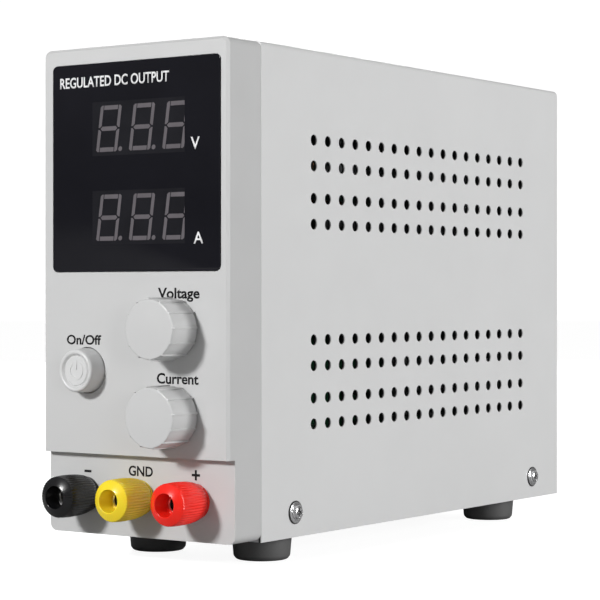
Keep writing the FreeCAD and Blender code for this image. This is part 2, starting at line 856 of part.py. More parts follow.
def make_nut(name, across, bore, thick):
    """A hexagon nut along +Y; 'across' is half of its width across corners."""
    body = make_body(name)
    outline = sketch_on(body, "XZ_Plane")
    across = Size.of(across)
    polygon(
        outline,
        [
            (across * math.cos(math.radians(60 * corner)), across * math.sin(math.radians(60 * corner)))
            for corner in range(6)
        ],
    )
    pad(body, circle(outline, 0, 0, bore), thick)
    return body


def make_washer(name, radius, bore, thick):
    body = make_body(name)
    pad(body, circle(circle(sketch_on(body, "XZ_Plane"), 0, 0, radius), 0, 0, bore), thick)
    return body


def make_power_button():
    """The round push button, its flange behind the bezel, and the plunger it carries."""
    body = make_body("power_button")
    front = -S.button_length
    flange = S.bezel_wall + 0.3
    socket = S.plunger_side / 2 + 0.02
    revolve(
        body,
        [
            (0, front + 0.9), (S.button_face * 0.6, front + 0.75), (S.button_face - 1.6, front + 0.2),
            (S.button_face - 1.1, front), (S.button_face - 0.5, front + 0.1),
            (S.button_face - 0.1, front + 0.5), (S.button_face, front + 1.0),
            (S.button_radius, 0), (S.button_radius, flange), (S.button_flange, flange),
            (S.button_flange, flange + 1.2), (4.6, flange + 1.2), (4.6, 7.0), (0, 7.0),
        ],
    )
    hole = sketch_on(body, "XZ_Plane", 7.0)
    pocket(body, rectangle(hole, -socket, -socket, socket, socket), 5.0, toward=-1)
    node(body, "power_button", S.button_x, 0, S.button_z)
    half = S.plunger_side / 2
    plunger = box("plunger", (-half, 2.1, -half), (half, 15.4, half))
    node(plunger, "switch_plunger", S.button_x - half, 2.1, S.button_z - half)


def make_power_switch():
    """The latching switch behind the button, and the spring that returns it."""
    low = S.button_z - 6.0
    left = S.button_x - 6.0
    front = 10.5
    back = 25.0
    can = box("switch_can", (left, front, low), (left + 12, back, low + 12))
    ledge = box("switch_ledge", (left - 1.5, 10.9, low - 1.5), (left + 13.5, 11.9, low + 13.5))
    room = S.plunger_side / 2 + 0.1
    channel = box(
        "switch_channel", (S.button_x - room, front - 1, S.button_z - room),
        (S.button_x + room, 21.0, S.button_z + room),
    )
    terminals = [
        box("switch_terminal", (left + x, back, low + z), (left + x + 1, back + 4, low + z + 2))
        for x in (2.5, 8.5)
        for z in (2.0, 8.0)
    ]
    body = cut("switch_case", fuse("switch_solid", [can, ledge] + terminals), [channel])
    node(body, "power_switch_body")
    spring = doc.addObject("Part::Feature", "switch_spring")
    spring.Shape = coil(radius=1.45, wire=0.25, length=4.8, turns=7)
    node(spring, "switch_spring", S.button_x, 15.8, S.button_z)


def coil(radius, wire, length, turns):
    """A round-wire compression spring along +Y from y = 0."""
    helix = Part.makeHelix(length / turns, length, radius)
    start = helix.Vertexes[0].Point
    section = Part.Wire(Part.makeCircle(wire, start, Vector(0, 1, 0)))
    turned = Part.Wire(helix.Edges).makePipeShell([section], True, True)
    turned.rotate(Vector(), Vector(1, 0, 0), -90)
    return turned


POSTS = (("negative", -1), ("ground", 0), ("positive", 1))


def make_post_cap():
    """The moulded nut of a binding post about the Y axis, with the panel at y = 0."""
    body = make_body("post_cap")
    nose = -S.post_nose
    bore = S.stud_radius + S.running_gap + 0.01
    revolve(
        body,
        [
            (S.post_recess, nose), (S.post_recess + 0.2, nose),
            (S.post_radius - 0.1, nose + 1.4), (S.post_radius, nose + 1.8),
            (S.post_radius + 0.1, nose + 5.0), (S.post_radius, -S.post_back - 4.0),
            (S.post_radius - 0.3, -S.post_back - 1.8), (S.post_radius - 0.8, -S.post_back),
            (S.clamp_radius, -S.post_back),
            (S.clamp_radius, -S.clamp_y), (bore, -S.clamp_y), (bore, -S.post_floor),
            (S.post_recess, -S.post_floor),
        ],
    )
    groove = sketch_on(body, "XZ_Plane", nose + 1.6)
    rim = S.post_radius + 0.5
    depth = S.post_radius - 0.22
    polygon(groove, [(depth, 0), (rim, -0.32), (rim, 0.32)])
    feature = pocket(body, groove, S.post_nose - 6.6, toward=1)
    ring_pattern(body, feature, S.post_grooves)
    return body


def make_posts():
    """Three binding posts: collar, stud with its 4 mm socket, clamp washer and cap."""
    for name, side in POSTS:
        x = side * S.post_x
        y = S.step_depth
        node(make_post_cap(), f"{name}_post_cap", x, y, S.post_z)
        washer = make_washer(f"{name}_washer", 4.3, S.stud_radius + S.running_gap, 0.8)
        node(washer, f"{name}_clamp_washer", x, y - S.clamp_y + 0.2, S.post_z)
        collar = make_body(f"{name}_collar")
        bore = S.stud_radius + 0.02
        revolve(
            collar,
            [
                (bore, -S.collar_height), (S.post_radius - 0.8, -S.collar_height),
                (S.post_radius - 0.9, 0), (S.seat_radius, 0), (S.seat_radius, S.bezel_wall),
                (bore, S.bezel_wall),
            ],
        )
        node(collar, f"{name}_post_collar", x, y, S.post_z)
        stud = make_body(f"{name}_stud")
        socket_end = S.stud_front + S.socket_depth
        revolve(
            stud,
            [
                (S.socket_radius, S.stud_front + 0.25), (S.socket_radius + 0.25, S.stud_front),
                (S.stud_radius - 0.15, S.stud_front), (S.stud_radius, S.stud_front + 0.2),
                (S.stud_radius, -S.collar_height - 0.7), (S.stud_flange, -S.collar_height - 0.7),
                (S.stud_flange, -S.collar_height), (S.stud_radius, -S.collar_height),
                (S.stud_radius, S.stud_back), (0, S.stud_back), (0, socket_end + 1.2),
                (S.socket_radius, socket_end),
            ],
        )
        node(stud, f"{name}_post_stud", x, y, S.post_z)
    make_post_hardware()


def make_post_hardware():
    """The washers, nuts and solder tags behind the bezel."""
    bore = S.stud_radius + 0.02
    washer = make_washer("stud_washer", 5.0, bore, 0.5)
    nut = make_nut("stud_nut", 4.6, bore, 2.6)
    tag = make_body("tag")
    ring = circle(circle(sketch_on(tag, "XZ_Plane"), 0, 0, 4.4), 0, 0, bore)
    pad(tag, ring, 0.5)
    tail = rectangle(sketch_on(tag, "XZ_Plane"), -1.5, 3.9, 1.5, 9.5)
    pad(tag, tail, 0.5)
    rings = []
    tags = []
    behind = S.step_depth + S.bezel_wall
    for name, side in POSTS:
        x = side * S.post_x
        rings.append(copy_at(washer, f"{name}_ring", x, behind, S.post_z))
        rings.append(copy_at(nut, f"{name}_nut", x, behind + 0.5, S.post_z))
        tags.append(copy_at(tag, f"{name}_tag", x, behind + 3.1, S.post_z))
        rings.append(copy_at(nut, f"{name}_nut", x, behind + 3.6, S.post_z))
    node(group("post_nuts", rings), "post_nuts")
    node(group("solder_tags", tags), "solder_tags")


# ---------------------------------------------------------------- displays and boards

def make_display_board():
    """The upright board behind the bezel that holds the displays, pots and switch."""
    front = S.front_board_y
    back = front + S.board
    plate = box("front_plate", (-26.2, front, 28), (31.5, back, 146))
    side = 6.2
    opening = box(
        "switch_opening", (S.button_x - side, front - 1, S.button_z - side),
        (S.button_x + side, back + 1, S.button_z + side),
    )
    node(cut("display_board", plate, [opening]), "display_board")


def make_displays():
    """Two three-digit modules, each a block with two rows of pins to the display board."""
    for name, z in (("voltage", S.digits_high_z), ("current", S.digits_low_z)):
        body = make_body(f"{name}_digits")
        half = S.digits_width / 2
        tall = S.digits_height / 2
        face = rectangle(sketch_on(body, "XZ_Plane", S.digits_y), -half, -tall, half, tall)
        pad(body, face, S.digits_depth)
        pins = sketch_on(body, "XZ_Plane", S.digits_y + S.digits_depth)
        for up in (-1, 1):
            circle(pins, -6.35, up * 7.62, 0.25)
        pin = pad(body, pins, S.front_board_y - S.digits_y - S.digits_depth)
        row_pattern(body, pin, "X_Axis", 2.54, S.digit_pins)
        node(body, f"{name}_display", S.digits_x, 0, z)


def board_corners():
    """Where the main board is screwed down: (y, z) of each corner."""
    inset = 6
    return [
        (y, z)
        for y in (S.main_board_front + inset, S.main_board_back - inset)
        for z in (S.main_board_bottom + inset, S.main_board_top - inset)
    ]


def make_main_board():
    """The upright power board on four standoffs, its parts facing right."""
    plate = box(
        "main_plate",
        (S.main_board_x, S.main_board_front, S.main_board_bottom),
        (S.main_board_x + S.board, S.main_board_back, S.main_board_top),
    )
    holes = [
        rod("board_hole", S.screw_hole, S.board + 2, (S.main_board_x - 1, y, z), "x")
        for y, z in board_corners()
    ]
    node(cut("main_board", plate, holes), "main_board")
    wall = -(S.case_width / 2) + S.sheet * 2 + S.skin_gap
    length = S.main_board_x - wall
    posts = []
    for y, z in board_corners():
        post = rod("standoff_post", 2.9, length, (wall, y, z), "x")
        bore = rod("standoff_bore", S.thread_hole, length - 0.5, (wall + 0.5, y, z), "x")
        posts.append(cut("standoff", post, [bore]))
    node(group("board_standoffs", posts), "board_standoffs")


def on_board(height):
    """How far right of the case's middle something stands that is this high above the main board."""
    return S.main_board_x + S.board + height


def make_transformer():
    """A ferrite core with two windows and the winding round its middle limb."""
    y, z = 98.0, 92.0
    low = on_board(4)
    core = box("core_block", (low, y - 21, z - 7.5), (low + 36, y + 21, z + 7.5))
    windows = [
        box("core_window", (low + start, y - 13.5, z - 8.5), (low + start + 6, y + 13.5, z + 8.5))
        for start in (6, 24)
    ]
    node(cut("transformer_core", core, windows), "transformer_core")
    coil_block = make_body("winding")
    section = sketch_on(coil_block, "XZ_Plane", y - 13.2)
    middle = low + 18
    rectangle(section, middle - 11.8, z - 14, middle + 11.8, z + 14)
    pad(coil_block, section, 26.4)
    fillet_uprights(coil_block, 3.0)
    limb = sketch_on(coil_block, "XZ_Plane", y - 14)
    rectangle(limb, middle - 6.1, z - 7.6, middle + 6.1, z + 7.6)
    pocket(coil_block, limb, 28.0, toward=1)
    node(coil_block, "transformer_winding")


def make_capacitors():
    """Two large mains capacitors and three output capacitors, standing off the board."""
    base = on_board(0)
    bulk = [rod("bulk_can", 11, 32, (base, 66, z), "x") for z in (28, 52)]
    node(group("bulk_capacitors", bulk), "bulk_capacitors")
    output = [rod("output_can", 6.5, 25, (base, 46, z), "x") for z in (26, 42, 58)]
    node(group("output_capacitors", output), "output_capacitors")


def make_choke():
    """The output choke: a wound ring lying on the board."""
    ring = make_body("output_choke")
    section = circle(sketch_on(ring, "XY_Plane"), 5.5, 9.5, 5.0)
    feature = ring.newObject("PartDesign::Revolution", "choke_turning")
    feature.Profile = section
    feature.ReferenceAxis = (origin_feature(ring, "X_Axis"), [""])
    feature.Angle = 360
    node(ring, "output_choke", on_board(0), 50, 116)


def comb(name, y, z, length, height, fins, reach):
    """A finned extrusion that stands 'reach' off the board: a flat base with fins upward."""
    body = make_body(name)
    profile = sketch_on(body, "YZ_Plane", on_board(0))
    tooth = 1.8
    pitch = (length - tooth) / (fins - 1)
    points = [(y, z)]
    points.append((y + length, z))
    for fin in reversed(range(fins)):
        left = y + fin * pitch
        right = left + tooth
        points.append((right, z + height))
        points.append((left, z + height))
        if fin:
            points.append((left, z + 3))
            points.append((left - pitch + tooth, z + 3))
    pad(body, polygon(profile, points), reach)
    return node(body, name)


def make_heatsinks():
    """Two extruded heatsinks and the power devices clamped under them."""
    comb("primary_heatsink", 132, 92, length=38, height=26, fins=6, reach=44)
    comb("secondary_heatsink", 84, 113, length=30, height=18, fins=5, reach=36)
    low = on_board(4)
    devices = []
    for y in (134, 153):
        block = box("power_block", (low, y, 87), (low + 20, y + 15, 92))
        legs = [
            box("device_leg", (on_board(0), y + along, 88.5), (low, y + along + 1.2, 89.7))
            for along in (2, 7, 12)
        ]
        devices.append(fuse("power_device", [block] + legs))
    for y in (86, 101):
        devices.append(box("rectifier_device", (low, y, 108.5), (low + 15, y + 10, 113)))
    node(group("power_devices", devices), "power_devices")


def make_board_parts():
    """The bridge rectifier, the mains filter choke and the fuse in its clips."""
    low = on_board(0)
    bridge = box("bridge", (low + 3, 112, 60), (low + 21, 132, 64))
    legs = [box("bridge_leg", (low, y, 61.5), (low + 3, y + 1.2, 62.7)) for y in (114, 119, 124, 129)]
    node(fuse("bridge_rectifier", [bridge] + legs), "bridge_rectifier")
    frame = box("filter_frame", (low, 148, 56), (low + 22, 172, 76))
    opening = box("filter_window", (low + 7, 155, 55), (low + 15, 165, 77))
    node(cut("line_filter_choke", frame, [opening]), "line_filter_choke")
    tube = rod("fuse_tube", 2.4, 20, (low + 7, 112, 24))
    clips = []
    for y in (112.5, 126.5):
        clip = box("fuse_clip", (low, y, 20.5), (low + 8, y + 5, 27.5))
        throat = box("clip_throat", (low + 2, y - 1, 21.3), (low + 9, y + 6, 26.7))
        clips.append(cut("clip", clip, [throat]))
    node(group("fuse_clips", clips), "fuse_clips")
    node(tube, "fuse", low + 7, 112, 24)


# ---------------------------------------------------------------- fan, inlet and selector

def make_fan():
    """A square axial fan behind the rear panel: its frame about the Y axis, and its rotor."""
    frame = make_body("fan_frame")
    half = S.fan_side / 2
    front = -S.fan_depth
    pad(frame, rectangle(sketch_on(frame, "XZ_Plane", front), -half, -half, half, half), S.fan_depth)
    fillet_uprights(frame, 4.0)
    bore = circle(sketch_on(frame, "XZ_Plane", front - 1), 0, 0, 28.2)
    pocket(frame, bore, S.fan_depth + 2, toward=1)
    corners = sketch_on(frame, "XZ_Plane", front - 1)
    for x in (-1, 1):
        for z in (-1, 1):
            circle(corners, x * S.fan_hole, z * S.fan_hole, 2.1)
    pocket(frame, corners, S.fan_depth + 2, toward=1)
    hub = circle(sketch_on(frame, "XZ_Plane", -3.0), 0, 0, 13.0)
    pad(frame, hub, 3.0)
    strut = rectangle(sketch_on(frame, "XZ_Plane", -3.0), 12.0, -1.5, 29.0, 1.5)
    ring_pattern(frame, pad(frame, strut, 3.0), 3)
    pin = circle(sketch_on(frame, "XZ_Plane", -10.0), 0, 0, 1.5)
    pad(frame, pin, 8.0)
    node(frame, "fan_frame", 0, S.rear_y, S.fan_z)
    rotor = make_body("fan_rotor")
    revolve(
        rotor,
        [
            (0, front + 1.2), (13.0, front + 1.2), (14.0, front + 2.2), (14.0, -3.6),
            (12.4, -3.6), (12.4, front + 4.0), (3.5, front + 4.0), (3.5, -4.0), (1.55, -4.0),
            (1.55, front + 4.0), (0, front + 4.0),
        ],
    )
    blade = rotor.newObject("PartDesign::AdditiveLoft", "blade")
    sections = []
    for radius, reach, lift in ((13.2, 4.6, 4.6), (26.8, 7.4, 3.4)):
        section = sketch_on(rotor, "XY_Plane", radius)
        middle = front + 6.6
        skin = 0.6
        polygon(
            section,
            [(-reach, middle - lift), (-reach + skin * 2, middle - lift),
             (reach, middle + lift), (reach - skin * 2, middle + lift)],
        )
        sections.append(section)
    blade.Profile = sections[0]
    blade.Sections = [sections[1]]
    ring_pattern(rotor, blade, 7)
    node(rotor, "fan_rotor", 0, S.rear_y, S.fan_z)
    screw = make_screw("fan_screw_master", 1.7, 14.0, 3.2, 2.2)
    copies = [
        copy_at(screw, "fan_screw", x * S.fan_hole, S.rear_y + S.rear_sheet, S.fan_z + z * S.fan_hole,
                SHANK_FRONT)
        for x in (-1, 1)
        for z in (-1, 1)
    ]
    node(group("fan_screws", copies), "fan_screws")


INLET_PINS = ((-7.0, 2.0), (0.0, -2.0), (7.0, 2.0))


def make_inlet():
    """The recessed three-pin mains inlet, about the Y axis with the panel's outer face at y = 0."""
    body = make_body("inlet_body")
    half = S.inlet_width / 2
    tall = S.inlet_height / 2
    flange = 3.0
    pad(body, rectangle(sketch_on(body, "XZ_Plane", -22.0), -half, -tall, half, tall), 22.5)
    face = rectangle(sketch_on(body, "XZ_Plane"), -half - 2.3, -tall - 2.3, half + 2.3, tall + 2.3)
    pad(body, face, flange)
    dress("Chamfer", body, lambda edge: lies_at(edge, 1, flange), 0.6)
    mouth = sketch_on(body, "XZ_Plane", flange)
    cheek = 4.0
    wide = 12.1
    high = 8.2
    polygon(
        mouth,
        [(-wide, high), (-wide, cheek - high), (cheek - wide, -high), (wide - cheek, -high),
         (wide, cheek - high), (wide, high)],
    )
    pocket(body, mouth, 16.6, toward=-1)
    slots = sketch_on(body, "XZ_Plane", -13.0)
    for x, z in INLET_PINS:
        rectangle(slots, x - 1.05, z - 2.05, x + 1.05, z + 2.05)
    pocket(body, slots, 10.0, toward=-1)
    outer = S.rear_y + S.rear_sheet
    node(body, "inlet_body", 0, outer, S.inlet_z)
    blades = []
    for x, z in INLET_PINS:
        blade = box("inlet_blade", (x - 1.0, -28.0, z - 2.0), (x + 1.0, 0.5, z + 2.0))
        blades.append(blade)
    node(group("inlet_pins", blades), "inlet_pins", 0, outer, S.inlet_z)


def make_selector():
    """The slide switch for the mains voltage: its case behind the panel and its slider."""
    case = box("selector_case", (-12, -8.2, -6), (12, -0.1, 6))
    trough = box("selector_trough", (-5.4, -4.2, -2.9), (5.4, 1, 2.9))
    ears = box("selector_ears", (-13.5, -1.0, -4), (13.5, -0.1, 4))
    body = cut("selector_body", fuse("selector_solid", [case, ears]), [trough])
    node(body, "selector_body", 0, S.rear_y, S.selector_z)
    start = -S.selector_travel / 2
    slider = make_body("selector_slider")
    block = rectangle(sketch_on(slider, "XZ_Plane", -4.0), -2.8, -2.7, 2.8, 2.7)
    pad(slider, block, 4.6)
    notch = rectangle(sketch_on(slider, "XZ_Plane", 1), -0.6, -3, 0.6, 3)
    pocket(slider, notch, 1.2, toward=-1)
    node(slider, "selector_slider", start, S.rear_y, S.selector_z)


# ---------------------------------------------------------------- wiring

ARC_SHARE = 0.45


def rounded_path(points):
    """Straight runs joined by tangent arcs as large as the shorter run at each corner allows."""
    corners = [Vector(*point) for point in points]
    edges = []
    start = corners[0]
    for before, corner, after in zip(corners, corners[1:], corners[2:]):
        into = (corner - before).normalize()
        out = (after - corner).normalize()
        turn = into.getAngle(out)
        reach = ARC_SHARE * min((corner - before).Length, (after - corner).Length)
        radius = reach / math.tan(turn / 2)
        first = corner - into * reach
        last = corner + out * reach
        inward = (out - into).normalize()
        depth = radius / math.cos(turn / 2) - radius
        edges.append(Part.LineSegment(start, first).toShape())
        edges.append(Part.Arc(first, corner + inward * depth, last).toShape())
        start = last
    edges.append(Part.LineSegment(start, corners[-1]).toShape())
    return Part.Wire(edges)


def sweep(points, section):
    """Sweeps a wire section, already square to the first run, along the rounded path."""
    path = rounded_path(points)
    solid = path.makePipeShell([section], True, False)
    area = Part.Face(section).Area
    if abs(solid.Volume - area * path.Length) > 0.02 * solid.Volume:
        raise RuntimeError("a swept lead has the wrong volume")
    return solid


def lead(name, points, radius):
    """A round insulated wire."""
    start = Vector(*points[0])
    ahead = (Vector(*points[1]) - start).normalize()
    item = doc.addObject("Part::Feature", name)
    item.Shape = sweep(points, Part.Wire(Part.makeCircle(radius, start, ahead)))
    return item


def make_output_leads():
    """One lead from each binding post's tag to the front edge of the main board."""
    board = on_board(0).number
    tag_y = SIZES["step_depth"] + SIZES["bezel_wall"] + 3.6
    tag_z = SIZES["post_z"] + 8.2
    post = SIZES["post_x"]
    routes = [
        [(-post, tag_y, tag_z), (-post, 18, tag_z), (-16, 27, 22), (-16, 36.5, 26), (board, 36.5, 26)],
        [(0, tag_y, tag_z), (0, 19, tag_z), (-6, 29, 28), (-13, 35, 34), (board, 35, 34)],
        [(post, tag_y, tag_z), (post, 19, tag_z), (12, 30, 27), (-1, 36, 36), (-13, 37, 42),
         (board, 37, 42)],
    ]
    leads = [lead("output_lead", route, 1.2) for route in routes]
    node(group("output_leads", leads), "output_leads")


def make_mains_leads():
    """Live, neutral and earth leads from the inlet's tabs to the back of the main board."""
    board = on_board(0).number
    tab_y = SIZES["rear_y"] + SIZES["rear_sheet"] - 28.0
    leads = []
    for index, (x, z) in enumerate(INLET_PINS):
        level = SIZES["inlet_z"] + z
        end_y = tab_y - 14 - 3 * index
        end_z = 26.0 + 6.0 * index
        route = [(x, tab_y, level), (x, end_y + 6, level),
                 ((x + board) / 2, end_y + 1, (level + end_z) / 2 + 1),
                 (board + 8, end_y, end_z), (board, end_y, end_z)]
        leads.append(lead("mains_lead", route, 1.0))
    node(group("mains_leads", leads), "mains_leads")


def make_fan_lead():
    """The fan's lead from its frame to the back of the main board."""
    board = on_board(0).number
    frame_y = SIZES["rear_y"] - SIZES["fan_depth"]
    route = [(-18, frame_y, 80), (-18, frame_y - 6, 80), (-21, frame_y - 10.5, 80),
             (board, frame_y - 10.5, 80)]
    node(lead("fan_lead", route, 0.9), "fan_lead")


def make_ribbon():
    """The flat cable from the display board to the main board."""
    board = on_board(0).number
    start_y = SIZES["front_board_y"] + SIZES["board"]
    route = [(-8, start_y, 84), (-8, start_y + 10, 84), (-14, 36, 84), (board, 36, 84)]
    thick, wide = 0.45, 6.0
    x, y, z = route[0]
    corners = [(x - thick, y, z - wide), (x + thick, y, z - wide),
               (x + thick, y, z + wide), (x - thick, y, z + wide)]
    outline = Part.makePolygon([Vector(*corner) for corner in corners + corners[:1]])
    ribbon = doc.addObject("Part::Feature", "ribbon")
    ribbon.Shape = sweep(route, outline)
    node(ribbon, "ribbon_cable")


# ---------------------------------------------------------------- build, check and write

def build():
    make_sheet()
    make_top_cover()
    make_base_tray()
    make_rear_panel()
    make_front_bezel()
    make_display_lens()
    make_feet()
    make_cover_screws()
    make_chassis_screws()
    make_knobs()
    make_pots()
    make_power_button()
    make_power_switch()
    make_posts()
    make_display_board()
    make_displays()
    make_main_board()
    make_transformer()
    make_capacitors()
    make_choke()
    make_heatsinks()
    make_board_parts()
    make_fan()
    make_inlet()
    make_selector()
    make_output_leads()
    make_mains_leads()
    make_fan_lead()
    make_ribbon()
    doc.recompute()


def check():
    """Stops if any object failed or any sub-part is empty or not valid."""
    for item in doc.Objects:
        if any(word in item.State for word in ("Invalid", "Error")):
            raise RuntimeError(f"{item.Label} failed: {item.State}")
    for item in nodes:
        if item.Shape.isNull() or not item.Shape.isValid() or not item.Shape.Solids:
            raise RuntimeError(f"{item.Label} has no valid shape")


def write():
    os.makedirs("parts", exist_ok=True)
    for item in nodes:
        item.Shape.exportStep(os.path.join("parts", f"{item.Label}.step"))
    print(len(nodes), "sub-parts written")


build()
check()
write()
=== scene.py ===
import json
import math

import bmesh
import bpy
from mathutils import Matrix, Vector


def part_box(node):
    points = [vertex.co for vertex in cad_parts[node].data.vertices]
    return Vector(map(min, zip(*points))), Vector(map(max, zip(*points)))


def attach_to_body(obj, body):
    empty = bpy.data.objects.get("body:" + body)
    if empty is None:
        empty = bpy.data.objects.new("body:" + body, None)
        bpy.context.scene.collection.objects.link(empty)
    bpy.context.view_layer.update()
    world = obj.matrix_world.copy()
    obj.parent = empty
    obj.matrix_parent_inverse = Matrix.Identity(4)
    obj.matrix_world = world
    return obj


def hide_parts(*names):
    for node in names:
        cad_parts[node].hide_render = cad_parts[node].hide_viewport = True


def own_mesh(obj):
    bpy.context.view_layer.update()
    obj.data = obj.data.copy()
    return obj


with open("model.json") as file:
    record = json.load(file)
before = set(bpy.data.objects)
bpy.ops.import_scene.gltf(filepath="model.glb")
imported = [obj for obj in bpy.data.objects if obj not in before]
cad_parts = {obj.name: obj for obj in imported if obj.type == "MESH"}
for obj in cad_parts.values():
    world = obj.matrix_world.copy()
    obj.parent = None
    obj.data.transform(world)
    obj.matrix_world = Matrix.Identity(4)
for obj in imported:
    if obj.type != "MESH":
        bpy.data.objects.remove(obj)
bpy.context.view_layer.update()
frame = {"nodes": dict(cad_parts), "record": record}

# The looks of a bench power supply. Lengths are in millimetres in the case frame, which has X to the
# right, Y back from the front face and Z up from the cover's bottom edge. at() turns them into the
# model's own metres.

MM = 0.001
COVER_LOW, COVER_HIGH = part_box("top_cover")
COVER_BEND = 2.0
# Depths in millimetres under the cover's outer surface where its painted shade starts and where it is full.
HOLE_SHADE_START, HOLE_SHADE_END = 0.3, 0.42
ORIGIN = Vector(((COVER_LOW.x + COVER_HIGH.x) / 2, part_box("front_bezel")[0].y, COVER_LOW.z))


def at(x, y, z):
    """A point of the case frame in the model's frame, in metres."""
    return ORIGIN + Vector((x, y, z)) * MM


def span(node):
    """The lowest and highest corners of a CAD node in the case frame, in millimetres."""
    low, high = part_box(node)
    return (low - ORIGIN) / MM, (high - ORIGIN) / MM


def centre_of(node):
    low, high = span(node)
    return (low + high) / 2


# ---------------------------------------------------------------- finishes

def painted_shade_mask(nodes, links, place):
    """Mask for painted shade: 1 where a point lies under the cover's thin outer skin and 0 on the skin
    itself, so the vent holes' walls and the cover's inner faces come out dark.
    """
    bend = COVER_BEND * MM
    axes = nodes.new("ShaderNodeSeparateXYZ")
    links.new(place, axes.inputs["Vector"])
    corner = nodes.new("ShaderNodeCombineXYZ")
    for axis, inner in (("X", COVER_HIGH.x - bend), ("Z", COVER_HIGH.z - bend)):
        away = nodes.new("ShaderNodeMath")
        away.operation = "ABSOLUTE"
        links.new(axes.outputs[axis], away.inputs[0])
        past = nodes.new("ShaderNodeMath")
        past.operation = "SUBTRACT"
        links.new(away.outputs["Value"], past.inputs[0])
        past.inputs[1].default_value = inner
        only = nodes.new("ShaderNodeMath")
        only.operation = "MAXIMUM"
        links.new(past.outputs["Value"], only.inputs[0])
        only.inputs[1].default_value = 0.0
        links.new(only.outputs["Value"], corner.inputs[axis])
    reach = nodes.new("ShaderNodeVectorMath")
    reach.operation = "LENGTH"
    links.new(corner.outputs["Vector"], reach.inputs[0])
    deep = nodes.new("ShaderNodeMapRange")
    deep.inputs["From Min"].default_value = bend - HOLE_SHADE_END * MM
    deep.inputs["From Max"].default_value = bend - HOLE_SHADE_START * MM
    deep.inputs["To Min"].default_value = 1.0
    deep.inputs["To Max"].default_value = 0.0
    links.new(reach.outputs["Value"], deep.inputs["Value"])
    return deep.outputs["Result"]


def finish(name, colour, rough, mottle=0.03, mottle_scale=45.0, grain=1500.0, grain_depth=0.02,
           grain_stretch=(1, 1, 1), rough_spread=0.06, painted_shade=None, **shader_values):
    """A procedural finish: mottled colour, uneven gloss and a fine surface grain. A painted shade colour,
    when given, takes over below the cover's skin and darkens its vent holes and inner faces."""
    material = bpy.data.materials.new(name)
    material.use_nodes = True
    nodes, links = material.node_tree.nodes, material.node_tree.links
    shader = nodes["Principled BSDF"]
    place = nodes.new("ShaderNodeTexCoord").outputs["Object"]

    def noise(scale, detail, stretch=(1, 1, 1)):
        mapping = nodes.new("ShaderNodeMapping")
        mapping.inputs["Scale"].default_value = stretch
        links.new(place, mapping.inputs["Vector"])
        texture = nodes.new("ShaderNodeTexNoise")
        texture.inputs["Scale"].default_value = scale
        texture.inputs["Detail"].default_value = detail
        links.new(mapping.outputs["Vector"], texture.inputs["Vector"])
        return texture.outputs["Fac"]

    def ranged(value, low, high):
        node = nodes.new("ShaderNodeMapRange")
        node.inputs["From Min"].default_value = 0.3
        node.inputs["From Max"].default_value = 0.7
        node.inputs["To Min"].default_value = low
        node.inputs["To Max"].default_value = high
        links.new(value, node.inputs["Value"])
        return node.outputs["Result"]

    cloud = noise(mottle_scale, 4.0)
    tint = nodes.new("ShaderNodeMix")
    tint.data_type = "RGBA"
    tint.inputs["A"].default_value = (*[c * (1 - mottle) for c in colour], 1)
    tint.inputs["B"].default_value = (*[min(1.0, c * (1 + mottle)) for c in colour], 1)
    links.new(ranged(cloud, 0.0, 1.0), tint.inputs["Factor"])
    shade = tint
    # Painted shade: a near-black colour mixed in under the cover's skin, which darkens the vent holes and
    # inner faces.
    if painted_shade:
        shade = nodes.new("ShaderNodeMix")
        shade.data_type = "RGBA"
        shade.inputs["B"].default_value = (*painted_shade, 1)
        links.new(tint.outputs["Result"], shade.inputs["A"])
        links.new(painted_shade_mask(nodes, links, place), shade.inputs["Factor"])
    links.new(shade.outputs["Result"], shader.inputs["Base Color"])
    smear = noise(mottle_scale * 3, 3.0)
    links.new(ranged(smear, rough - rough_spread, rough + rough_spread), shader.inputs["Roughness"])
    height = noise(grain, 2.0, grain_stretch)
    bump = nodes.new("ShaderNodeBump")
    bump.inputs["Strength"].default_value = 1.0
    bump.inputs["Distance"].default_value = grain_depth * MM
    links.new(height, bump.inputs["Height"])
    links.new(bump.outputs["Normal"], shader.inputs["Normal"])
    for label, value in shader_values.items():
        shader.inputs[label.replace("_", " ").title().replace("Ior", "IOR")].default_value = value
    return material


